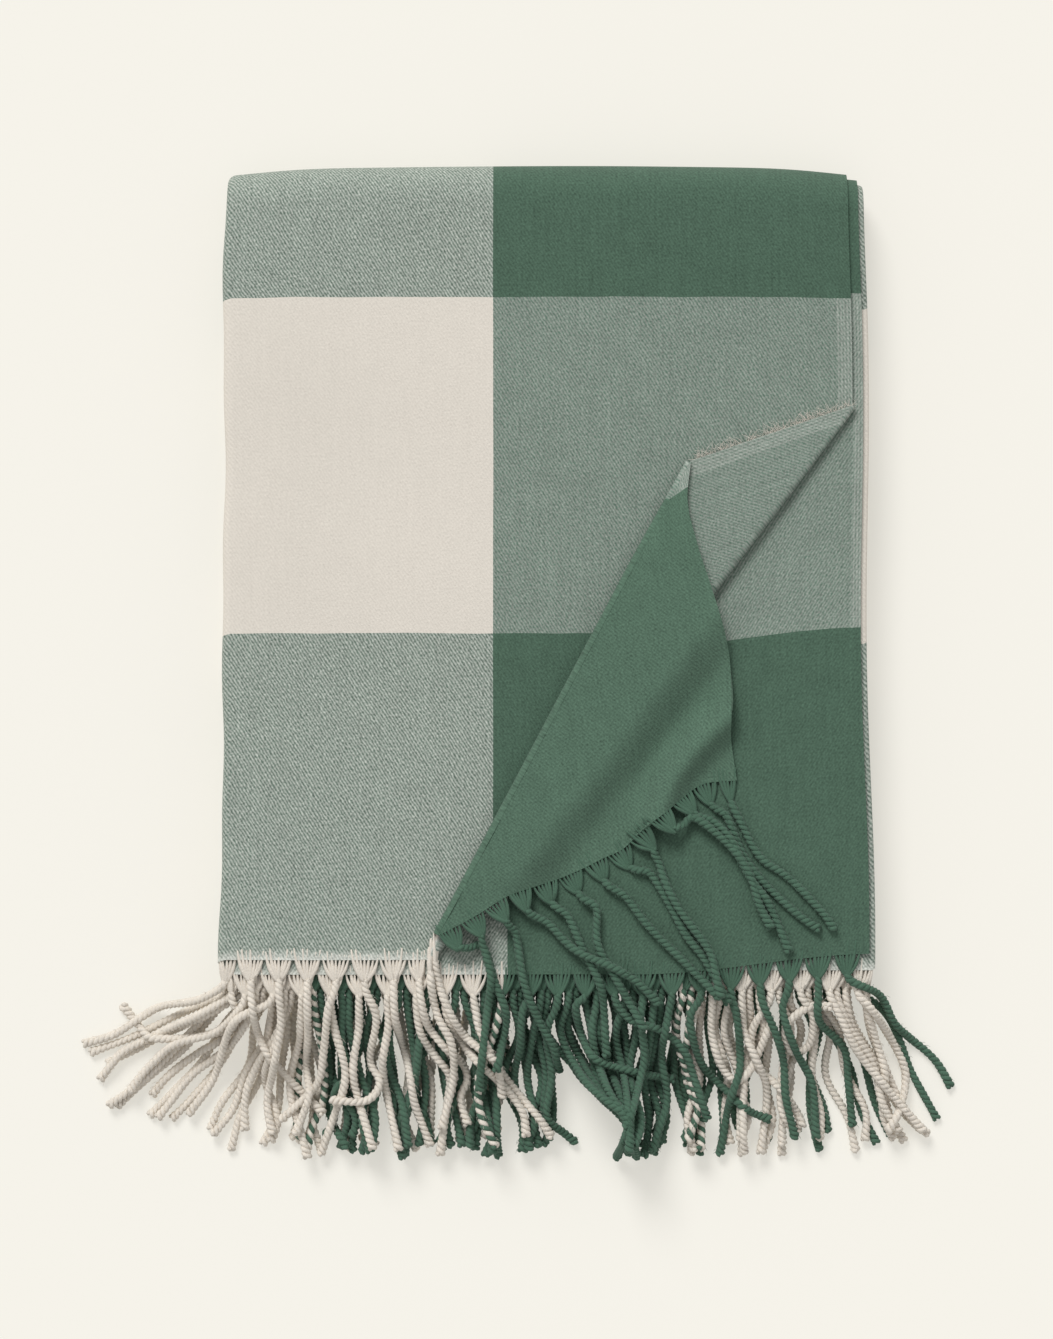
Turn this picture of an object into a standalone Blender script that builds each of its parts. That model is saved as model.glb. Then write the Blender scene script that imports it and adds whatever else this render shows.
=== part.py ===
"""Folded throw blanket: a twill throw with a fringe at both ends, folded in four across its
width and then in four along its length, with one corner of the top layer turned back twice.

Every leaf of the pack, every turn of cloth between two leaves and every run of fringe is an
object of its own. X runs along the front edge, +Y away from it, +Z up; the pack rests on z = 0.
"""

import math

import bmesh
import bpy
from mathutils import Matrix, Vector

# --- Driving dimensions, in metres -------------------------------------------------------------
CLOTH = 0.0019              # thickness of one layer
PITCH = 0.0024              # from one layer to the next
GAP = 0.0003                # between pieces that touch

PACK_WIDTH = 0.3196         # between the turns at the left and at the right
PACK_DEPTH = 0.3850         # between the turns at the front and at the back
LEFT_BEND = -0.1448         # where every layer starts its turn at the left
FRONT_BEND = -0.1505        # where the base panel turns up into the lower one
RIGHT_BEND = LEFT_BEND + PACK_WIDTH
BACK_BEND = FRONT_BEND + PACK_DEPTH
SELVEDGE_1 = RIGHT_BEND - 0.0068    # right edge of strip 1
SELVEDGE_4 = RIGHT_BEND - 0.0013    # right edge of strip 4

# How far each strip's hem hangs past the front turn.
FACE_OVERHANG = {1: 0.0040, 4: 0.0115, 3: 0.0095, 2: 0.0075}
UNDER_OVERHANG = {1: 0.0055, 4: 0.0065, 3: 0.0095, 2: 0.0085}
FACE_HEM = {strip: FRONT_BEND - past for strip, past in FACE_OVERHANG.items()}
UNDER_HEM = {strip: FRONT_BEND - past for strip, past in UNDER_OVERHANG.items()}

FRINGE_PITCH = 0.01414      # from one tassel to the next
TASSEL_WIDTH = 0.0043
FRINGE_BAND = 0.0040        # depth of the joined roots
FRINGE_REACH = 0.0880       # root to tip
FRINGE_FALL = 0.0380        # distance over which the fringe comes down from its layer
FLAP_RUN_END = 0.9          # share of the flap's last stretch of hem that carries fringe

# The turned corner, measured from the selvedge of strip 1 and from its hem.
LOWER_CREASE_TOP = (0.0010, 0.2865)
LOWER_CREASE_FOOT = (-0.2130, 0.0055)
HINGE_CREASE_TOP = (-0.0809, 0.2575)
HINGE_CREASE_FOOT = (-0.2071, 0.0176)
LOWER_CREASE_RUN = 0.90      # share of the lower crease that is a clear turn; then it is pinched
FLAP_SIDE = [(-0.0845, 0.2430), (-0.0760, 0.2075), (-0.0620, 0.1670), (-0.0595, 0.1415),
             (-0.0618, 0.1165)]
FLAP_CORNER = (-0.0595, 0.0965)
FLAP_HEM = [(-0.0810, 0.0833), (-0.0985, 0.0665), (-0.1203, 0.0505), (-0.1465, 0.0430),
            (-0.1768, 0.0303)]

BEVEL = 0.0004              # soft edge of a leaf
SNAP = 0.00002              # points closer than this are one point
TURN_STEPS = 10             # facets round half a turn

# Strip number on each level of a panel, from its lowest level up.
ORDER_DOWN = (1, 4, 3, 2)   # base and under panels
ORDER_UP = (2, 3, 4, 1)     # lower and face panels
PANELS = {"base": (0, ORDER_DOWN), "lower": (4, ORDER_UP),
          "under": (8, ORDER_DOWN), "face": (12, ORDER_UP)}
TURNED_LEVEL = 17
FLAP_LEVEL = 19

GREEN = (0.087, 0.140, 0.105)
SAGE = (0.300, 0.345, 0.310)
CREAM = (0.695, 0.645, 0.575)


# --- Small helpers -----------------------------------------------------------------------------
def clear_scene():
    for obj in list(bpy.data.objects):
        bpy.data.objects.remove(obj, do_unlink=True)


def level_z(level):
    """Height of the middle of a layer."""
    return CLOTH / 2 + level * PITCH


def level_of(panel, strip):
    lowest, order = PANELS[panel]
    return lowest + order.index(strip)


def right_end(strip):
    return {1: SELVEDGE_1, 2: RIGHT_BEND, 3: RIGHT_BEND, 4: SELVEDGE_4}[strip]


def front_end(panel, strip):
    """Y of the front end of a leaf: its hem, or the start of the front turn."""
    return {"face": FACE_HEM[strip], "under": UNDER_HEM[strip]}.get(panel, FRONT_BEND)


def corner_point(offset):
    """A point of the turned corner in the object's frame."""
    return Vector((SELVEDGE_1 + offset[0], FACE_HEM[1] + offset[1]))


def cloth_material(name, colour):
    material = bpy.data.materials.new(name + "_yarn")
    material.use_nodes = True
    shader = material.node_tree.nodes["Principled BSDF"]
    shader.inputs["Base Color"].default_value = (*colour, 1.0)
    shader.inputs["Roughness"].default_value = 0.95
    shader.inputs["Metallic"].default_value = 0.0
    return material


def finish(obj, collection, frame, colour):
    """Gives an object its material, its collection and its parent."""
    for owner in list(obj.users_collection):
        owner.objects.unlink(obj)
    collection.objects.link(obj)
    obj.data.materials.clear()
    obj.data.materials.append(cloth_material(obj.name, colour))
    obj.parent = frame
    return obj


def outline(name, points, thickness):
    """A flat outline, as a filled curve of the given thickness about its own plane."""
    curve = bpy.data.curves.new(name, "CURVE")
    curve.dimensions = "2D"
    curve.fill_mode = "BOTH"
    curve.extrude = thickness / 2
    spline = curve.splines.new("POLY")
    spline.points.add(len(points) - 1)
    for point, place in zip(spline.points, points):
        point.co = (place[0], place[1], 0.0, 1.0)
    spline.use_cyclic_u = True
    obj = bpy.data.objects.new(name, curve)
    bpy.context.scene.collection.objects.link(obj)
    return obj


def as_mesh(obj):
    """Turns a curve object into a welded mesh object of the same name."""
    bpy.context.view_layer.update()
    graph = bpy.context.evaluated_depsgraph_get()
    mesh = bpy.data.meshes.new_from_object(obj.evaluated_get(graph))
    name, matrix = obj.name, obj.matrix_world.copy()
    bpy.data.objects.remove(obj, do_unlink=True)
    made = bpy.data.objects.new(name, mesh)
    made.matrix_world = matrix
    bpy.context.scene.collection.objects.link(made)
    shape = bmesh.new()
    shape.from_mesh(mesh)
    bmesh.ops.remove_doubles(shape, verts=shape.verts, dist=SNAP)
    shape.to_mesh(mesh)
    shape.free()
    return made


# --- Leaves ------------------------------------------------------------------------------------
def leaf(name, low, high, level):
    """A rectangular layer of cloth between two plan corners."""
    bpy.ops.mesh.primitive_cube_add(size=1.0)
    obj = bpy.context.object
    obj.name = name
    obj.scale = (high[0] - low[0], high[1] - low[1], CLOTH)
    bpy.ops.object.transform_apply(location=False, rotation=False, scale=True)
    obj.location = ((low[0] + high[0]) / 2, (low[1] + high[1]) / 2, level_z(level))
    bevel = obj.modifiers.new("Soft edge", "BEVEL")
    bevel.width = BEVEL
    bevel.segments = 1
    return obj


def panel_leaf(panel, strip):
    return leaf(f"leaf_{panel}_{strip}",
                (LEFT_BEND + GAP, front_end(panel, strip) + GAP),
                (right_end(strip) - GAP, BACK_BEND - GAP),
                level_of(panel, strip))


def top_leaf():
    """Strip 1 of the face panel, which ends where its corner is turned back."""
    crease_top = corner_point(LOWER_CREASE_TOP)
    crease_foot = corner_point(LOWER_CREASE_FOOT)
    along = (crease_foot - crease_top).normalized()
    inward = Vector((along.y, -along.x)) * GAP
    side = SELVEDGE_1 - GAP
    hem = FACE_HEM[1] + GAP
    at_side = crease_top + along * ((side - crease_top.x) / along.x) + inward
    at_hem = crease_foot + along * ((hem - crease_foot.y) / along.y) + inward
    points = [(LEFT_BEND + GAP, hem), (at_hem.x, hem), (side, at_side.y),
              (side, BACK_BEND - GAP), (LEFT_BEND + GAP, BACK_BEND - GAP)]
    obj = outline("leaf_face_1", points, CLOTH)
    obj.location.z = level_z(level_of("face", 1))
    return obj


# --- Turns of cloth between two layers ---------------------------------------------------------
def half_ring(name, levels, length):
    """A half tube whose bore runs along local Z and whose bulge faces local +X."""
    radius = (levels[1] - levels[0]) * PITCH / 2
    outer, inner = radius + CLOTH / 2, max(radius - CLOTH / 2, 0.0002)
    angles = [math.pi * (step / TURN_STEPS - 0.5) for step in range(TURN_STEPS + 1)]
    points = [(outer * math.cos(a), outer * math.sin(a)) for a in angles]
    points += [(inner * math.cos(a), inner * math.sin(a)) for a in reversed(angles)]
    return outline(name, points, length)


def turn(name, levels, start, end, bulge):
    """A half tube from start to end in plan, joining two levels, with its bulge to one side."""
    start, end = Vector((*start, 0.0)), Vector((*end, 0.0))
    obj = half_ring(name, levels, (end - start).length)
    out = Vector((*bulge, 0.0)).normalized()
    up = Vector((0.0, 0.0, 1.0))
    along = out.cross(up)
    middle = (start + end) / 2
    middle.z = (level_z(levels[0]) + level_z(levels[1])) / 2
    rows = [(out[i], up[i], along[i], middle[i]) for i in range(3)] + [(0.0, 0.0, 0.0, 1.0)]
    obj.matrix_world = Matrix(rows)
    return obj


def levels_between(first, second):
    low, high = sorted((level_of(*first), level_of(*second)))
    return low, high


def length_turns():
    """The turns at the back and at the front, one for each strip."""
    made = []
    for strip in (1, 2, 3, 4):
        left, right = LEFT_BEND + GAP, right_end(strip) - GAP
        runs = (("fold_back", ("base", strip), ("face", strip), BACK_BEND, 1.0),
                ("fold_core", ("lower", strip), ("under", strip), BACK_BEND, 1.0),
                ("fold_front", ("base", strip), ("lower", strip), FRONT_BEND, -1.0))
        for name, first, second, at, way in runs:
            made.append(turn(f"{name}_{strip}", levels_between(first, second),
                             (left, at), (right, at), (0.0, way)))
    return made


def width_turns():
    """The turns at the left and right sides, three for each panel."""
    made = []
    for panel in PANELS:
        runs = (("turn_outer", 1, 2, LEFT_BEND, -1.0), ("turn_inner", 3, 4, LEFT_BEND, -1.0),
                ("turn_right", 2, 3, RIGHT_BEND, 1.0))
        for name, first, second, at, way in runs:
            front = max(front_end(panel, first), front_end(panel, second)) + GAP
            made.append(turn(f"{name}_{panel}", levels_between((panel, first), (panel, second)),
                             (at, front), (at, BACK_BEND - GAP), (way, 0.0)))
    return made


# --- The turned corner -------------------------------------------------------------------------
def crease(name, top, foot, run, levels, bulge_side):
    """The turn of cloth along a slanting crease, over a share of its length.

    bulge_side is +1 for a bulge to the right of the crease and -1 for the left.
    """
    start = corner_point(top)
    end = start.lerp(corner_point(foot), run)
    along = (end - start).normalized()
    trim = along * (3 * GAP)
    out = Vector((-along.y, along.x)) * bulge_side
    return turn(name, levels, start + trim, end - trim, out)


def turned_leaf():
    """The stretch between the two creases, lying face down."""
    corners = [corner_point(offset) for offset in
               (LOWER_CREASE_TOP, HINGE_CREASE_TOP, HINGE_CREASE_FOOT, LOWER_CREASE_FOOT)]
    middle = sum(corners, Vector((0.0, 0.0))) / len(corners)
    lower = (corners[3] - corners[0]).normalized()
    hinge = (corners[2] - corners[1]).normalized()
    inset_lower = Vector((lower.y, -lower.x)) * GAP
    inset_hinge = Vector((-hinge.y, hinge.x)) * GAP
    if inset_lower.dot(middle - corners[0]) < 0:
        inset_lower = -inset_lower
    if inset_hinge.dot(middle - corners[1]) < 0:
        inset_hinge = -inset_hinge
    points = [corners[0] + inset_lower, corners[1] + inset_hinge,
              corners[2] + inset_hinge, corners[3] + inset_lower]
    obj = outline("corner_turned", points, CLOTH)
    obj.location.z = level_z(TURNED_LEVEL)
    return obj


def flap_hem_points():
    """Hem of the flap from its corner to the foot of the hinge crease."""
    return [corner_point(offset) for offset in (FLAP_CORNER, *FLAP_HEM)]


def corner_flap():
    """The tip of the corner, turned face up again; it swings about the hinge crease."""
    top, foot = corner_point(HINGE_CREASE_TOP), corner_point(HINGE_CREASE_FOOT)
    along = (foot - top).normalized()
    inset = Vector((-along.y, along.x)) * GAP
    side = [corner_point(offset) for offset in FLAP_SIDE]
    points = [top + inset, *side, *flap_hem_points(), foot + inset]
    obj = outline("corner_flap", points, CLOTH)
    obj.location.z = level_z(FLAP_LEVEL)
    return obj


# --- Fringe ------------------------------------------------------------------------------------
def front_line():
    """Y beyond which nothing but fringe reaches."""
    low, high = levels_between(("base", 1), ("lower", 1))
    bulge = (high - low) * PITCH / 2 + CLOTH / 2
    return min(*FACE_HEM.values(), *UNDER_HEM.values(), FRONT_BEND - bulge)


def let_fall(obj, level):
    """Lays a flat run of fringe on its level, coming down evenly past the front of the pack."""
    start = front_line() - FRINGE_BAND - 2 * GAP
    mesh = bmesh.new()
    mesh.from_mesh(obj.data)
    for line in (start, start - FRINGE_FALL):
        geometry = [*mesh.verts, *mesh.edges, *mesh.faces]
        bmesh.ops.bisect_plane(mesh, geom=geometry, dist=SNAP, plane_co=(0, line, 0),
                               plane_no=(0, 1, 0))
    bmesh.ops.remove_doubles(mesh, verts=mesh.verts, dist=SNAP)
    bmesh.ops.triangulate(mesh, faces=mesh.faces)
    for vertex in mesh.verts:
        share = min(max((start - vertex.co.y) / FRINGE_FALL, 0.0), 1.0)
        vertex.co.z += level_z(level) - share * PANELS["under"][0] * PITCH
    mesh.to_mesh(obj.data)
    mesh.free()


def hem_normals(hem):
    """For each point of a hem, the way out of the cloth, long enough to mitre its corners."""
    ways = [(two - one).normalized() for one, two in zip(hem, hem[1:])]
    outs = [Vector((-way.y, way.x)) if way.x < 0 else Vector((way.y, -way.x)) for way in ways]
    normals = []
    for first, second in zip([outs[0], *outs], [*outs, outs[-1]]):
        middle = (first + second).normalized()
        normals.append(middle / middle.dot(first))
    return normals


def fringe(name, hem, lean_start, lean_end, level, reach=FRINGE_REACH):
    """A run of tassels on one band, along a hem given from right to left.

    The lean is the angle of a tassel from straight out (-Y), positive towards +X, and it
    changes evenly along the run, so that tassels never cross.
    """
    lengths = [0.0]
    for one, two in zip(hem, hem[1:]):
        lengths.append(lengths[-1] + (two - one).length)
    normals = hem_normals(hem)
    count = max(int(lengths[-1] / FRINGE_PITCH), 2)
    margin = TASSEL_WIDTH

    def outward(distance):
        """The point of the hem at a distance along it, and the way out of the cloth there."""
        index = 0
        while index < len(hem) - 2 and distance > lengths[index + 1]:
            index += 1
        share = (distance - lengths[index]) / (lengths[index + 1] - lengths[index])
        return hem[index].lerp(hem[index + 1], share), normals[index].lerp(normals[index + 1], share)

    top = [place + normal * 2 * GAP for place, normal in zip(hem, normals)]
    bottom = []
    for number in range(count):
        share = number / (count - 1)
        distance = margin + (lengths[-1] - 2 * margin) * share
        place, out = outward(distance)
        root = place + out * FRINGE_BAND
        lean = lean_start + (lean_end - lean_start) * share
        way = Vector((math.sin(lean), -math.cos(lean)))
        along = Vector((-out.y, out.x)).normalized() * TASSEL_WIDTH / 2
        across = Vector((-way.y, way.x)) * TASSEL_WIDTH / 2
        tip = root + way * reach
        bottom += [root + along, tip + across, tip - across, root - along]
    ends = [hem[end] + normals[end] * FRINGE_BAND for end in (0, -1)]
    ring = [ends[0], *bottom, ends[1]]
    obj = as_mesh(outline(name, ring + list(reversed(top)), CLOTH))
    let_fall(obj, level)
    return obj


def straight_hem(right, left, hem):
    return [Vector((right, hem)), Vector((left, hem))]


def fringes():
    """(object, colour) for each run of fringe."""
    made = []
    left = LEFT_BEND + GAP
    crease_foot = corner_point(LOWER_CREASE_FOOT)
    hem = FACE_HEM[1]
    made.append((fringe("fringe_face_1", straight_hem(crease_foot.x - 0.012, left, hem),
                        math.radians(-6), math.radians(-64), level_of("face", 1)), CREAM))
    colours = {1: GREEN, 2: CREAM, 3: CREAM, 4: GREEN}
    for panel, hems in (("face", FACE_HEM), ("under", UNDER_HEM)):
        for strip in (1, 2, 3, 4):
            if (panel, strip) == ("face", 1):
                continue
            run = straight_hem(right_end(strip) - GAP, left, hems[strip])
            made.append((fringe(f"fringe_{panel}_{strip}", run, math.radians(34),
                                math.radians(-20), level_of(panel, strip)),
                         colours[strip]))
    flap_run = flap_hem_points()
    flap_run.append(flap_run[-1].lerp(corner_point(HINGE_CREASE_FOOT), FLAP_RUN_END))
    made.append((fringe("fringe_flap", flap_run, math.radians(40), math.radians(14),
                        FLAP_LEVEL, 0.9 * FRINGE_REACH), GREEN))
    return made


# --- Assembly ----------------------------------------------------------------------------------
def centre_on_footprint(frame, objects):
    """Puts the middle of the footprint over the origin."""
    bpy.context.view_layer.update()
    graph = bpy.context.evaluated_depsgraph_get()
    places = []
    for obj in objects:
        shape = obj.evaluated_get(graph)
        places += [shape.matrix_world @ vertex.co for vertex in shape.to_mesh().vertices]
        shape.to_mesh_clear()
    middle = [(min(p[i] for p in places) + max(p[i] for p in places)) / 2 for i in (0, 1)]
    frame.location = (-middle[0], -middle[1], 0.0)


def build():
    clear_scene()
    collection = bpy.data.collections.new("folded_throw")
    bpy.context.scene.collection.children.link(collection)
    frame = bpy.data.objects.new("throw_frame", None)
    collection.objects.link(frame)
    made = []

    def add(obj, colour):
        made.append(finish(obj, collection, frame, colour))

    for panel in PANELS:
        for strip in (1, 2, 3, 4):
            if (panel, strip) != ("face", 1):
                add(panel_leaf(panel, strip), SAGE if strip in (1, 3) else GREEN)
    add(top_leaf(), CREAM)
    for obj in length_turns():
        add(obj, SAGE)
    for obj in width_turns():
        add(obj, SAGE)
    add(turned_leaf(), SAGE)
    add(corner_flap(), GREEN)
    top_level = level_of("face", 1)
    add(crease("crease_lower", LOWER_CREASE_TOP, LOWER_CREASE_FOOT, LOWER_CREASE_RUN,
               (top_level, TURNED_LEVEL), 1.0), SAGE)
    add(crease("crease_hinge", HINGE_CREASE_TOP, HINGE_CREASE_FOOT, 1.0,
               (TURNED_LEVEL, FLAP_LEVEL), -1.0), GREEN)
    for obj, colour in fringes():
        add(obj, colour)
    centre_on_footprint(frame, made)


if __name__ == "__main__":
    build()
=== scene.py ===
"""Folded check throw: the woven sheet, its turned-back corner and its twisted fringe.

One continuous twill sheet is folded by formula into four strips across and four panels along,
so the sixteen layers of the CAD frame all belong to a single cloth. Lengths are in metres
unless a name ends in MM.
"""

import logging
import math
import random
from collections.abc import Callable
from dataclasses import dataclass
from enum import Enum

import bpy
import numpy as np
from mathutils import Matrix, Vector


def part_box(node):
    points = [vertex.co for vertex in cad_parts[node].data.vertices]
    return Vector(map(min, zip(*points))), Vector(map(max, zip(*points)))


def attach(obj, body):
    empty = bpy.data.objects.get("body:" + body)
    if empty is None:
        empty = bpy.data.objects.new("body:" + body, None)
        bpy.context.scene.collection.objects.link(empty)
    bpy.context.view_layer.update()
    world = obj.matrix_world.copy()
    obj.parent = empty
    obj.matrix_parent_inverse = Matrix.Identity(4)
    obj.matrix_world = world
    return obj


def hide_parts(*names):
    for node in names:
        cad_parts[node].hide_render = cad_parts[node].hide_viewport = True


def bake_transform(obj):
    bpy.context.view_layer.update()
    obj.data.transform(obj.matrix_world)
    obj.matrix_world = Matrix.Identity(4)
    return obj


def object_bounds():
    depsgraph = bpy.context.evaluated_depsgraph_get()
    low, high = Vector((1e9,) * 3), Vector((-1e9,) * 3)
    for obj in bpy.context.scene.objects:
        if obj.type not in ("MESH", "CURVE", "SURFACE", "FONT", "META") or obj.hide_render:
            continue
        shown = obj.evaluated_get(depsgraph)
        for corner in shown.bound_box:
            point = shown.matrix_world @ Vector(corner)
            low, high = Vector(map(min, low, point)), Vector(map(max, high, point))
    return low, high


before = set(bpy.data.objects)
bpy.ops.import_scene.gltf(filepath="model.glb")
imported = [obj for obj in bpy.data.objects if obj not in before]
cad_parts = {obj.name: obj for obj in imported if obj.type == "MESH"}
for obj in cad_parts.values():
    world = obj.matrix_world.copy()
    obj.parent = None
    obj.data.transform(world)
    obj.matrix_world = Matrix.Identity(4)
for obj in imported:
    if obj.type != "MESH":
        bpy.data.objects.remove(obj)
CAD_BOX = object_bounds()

logging.basicConfig(level=logging.INFO, format="%(message)s")
LOG = logging.getLogger("throw")

MM = 0.001
FLAT_MAP = "Flat"
STACK = "stack"
FLAP = "flap"
TOP_LEVEL = 15
# Leans a little, so that it is never along a strand that stands straight up.
NEARLY_UP = (0.05, 0.03, 1.0)

Numbers = float | np.ndarray
Tree = bpy.types.NodeTree
Socket = bpy.types.NodeSocket
Material = bpy.types.Material


class Side(Enum):
    """The two sides of the woven cloth."""

    FACE = "face"
    BACK = "back"


class Hem(Enum):
    """The two fringed ends of the sheet."""

    FACE = "face"
    UNDER = "under"


class Yarn(Enum):
    """The two dyed yarns of the check."""

    CREAM = "cream"
    GREEN = "green"


def linear(hex_colour: str) -> tuple[float, float, float, float]:
    """Convert a display colour to the linear values that a shader takes.

    Args:
        hex_colour: an sRGB colour such as "#dad3c8".

    Returns:
        Linear red, green, blue and an alpha of one.
    """
    channels = [int(hex_colour[i : i + 2], 16) / 255 for i in (1, 3, 5)]
    # The sRGB curve: straight near black and a power above it.
    values = [c / 12.92 if c <= 0.04045 else ((c + 0.055) / 1.055) ** 2.4 for c in channels]
    return (values[0], values[1], values[2], 1.0)


def smooth(low: float, high: float, value: Numbers) -> Numbers:
    """Ease from 0 at low to 1 at high.

    Args:
        low: the value that gives 0.
        high: the value that gives 1; it may be the smaller of the two.
        value: a number or an array.

    Returns:
        The eased share, of the same kind as value.
    """
    t = np.clip((value - low) / (high - low), 0.0, 1.0)
    return t * t * (3 - 2 * t)


def mix(start: Numbers, end: Numbers, share: Numbers) -> Numbers:
    """Blend linearly from start to end."""
    return start + (end - start) * share


def fill_inputs(tree: Tree, node: bpy.types.Node, inputs: dict) -> None:
    """Set a node's inputs.

    Args:
        tree: the node tree that holds the node.
        node: the node.
        inputs: socket index or name to a constant or to another node's output socket.
    """
    for key, value in inputs.items():
        if isinstance(value, Socket):
            tree.links.new(value, node.inputs[key])
        else:
            node.inputs[key].default_value = value


def add_node(tree: Tree, kind: str, inputs: dict | None = None, **settings) -> bpy.types.Node:
    """Add one shader node with its settings, values and links.

    Args:
        tree: the node tree that takes the node.
        kind: the node type, without the ShaderNode prefix.
        inputs: what fill_inputs takes.
        settings: attributes of the node itself.

    Returns:
        The new node.
    """
    node = tree.nodes.new("ShaderNode" + kind)
    for name, value in settings.items():
        setattr(node, name, value)
    fill_inputs(tree, node, inputs or {})
    return node


def maths(tree: Tree, operation: str, *values: Socket | float) -> Socket:
    """Add a Math node and return its output socket."""
    return add_node(tree, "Math", dict(enumerate(values)), operation=operation).outputs[0]


def centred(tree: Tree, value: Socket, reach: float) -> Socket:
    """Scale a value from 0 to 1 so that it runs over reach, half of it below zero."""
    return maths(tree, "MULTIPLY_ADD", value, reach, -reach / 2)


def noise(tree: Tree, place: Socket, scale: float, detail: float) -> Socket:
    """Add noise and return its value socket; scale is in cells per metre."""
    inputs = {"Vector": place, "Scale": scale, "Detail": detail}
    return add_node(tree, "TexNoise", inputs).outputs["Fac"]


def blend_colour(tree: Tree, share: Socket, low: tuple, high: tuple) -> Socket:
    """Mix two colours by share and return the result socket."""
    return add_node(tree, "Mix", {0: share, 6: low, 7: high}, data_type="RGBA").outputs[2]


def finish_material(name: str, dress: Callable[[Tree], dict]) -> Material:
    """Make a material from what a finish puts into its Principled shader.

    Args:
        name: the material's name.
        dress: builds the finish's nodes in a tree and returns the shader's inputs.

    Returns:
        The new material.
    """
    made = bpy.data.materials.new(name)
    made.use_nodes = True
    tree = made.node_tree
    fill_inputs(tree, tree.nodes["Principled BSDF"], dress(tree))
    return made


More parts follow.
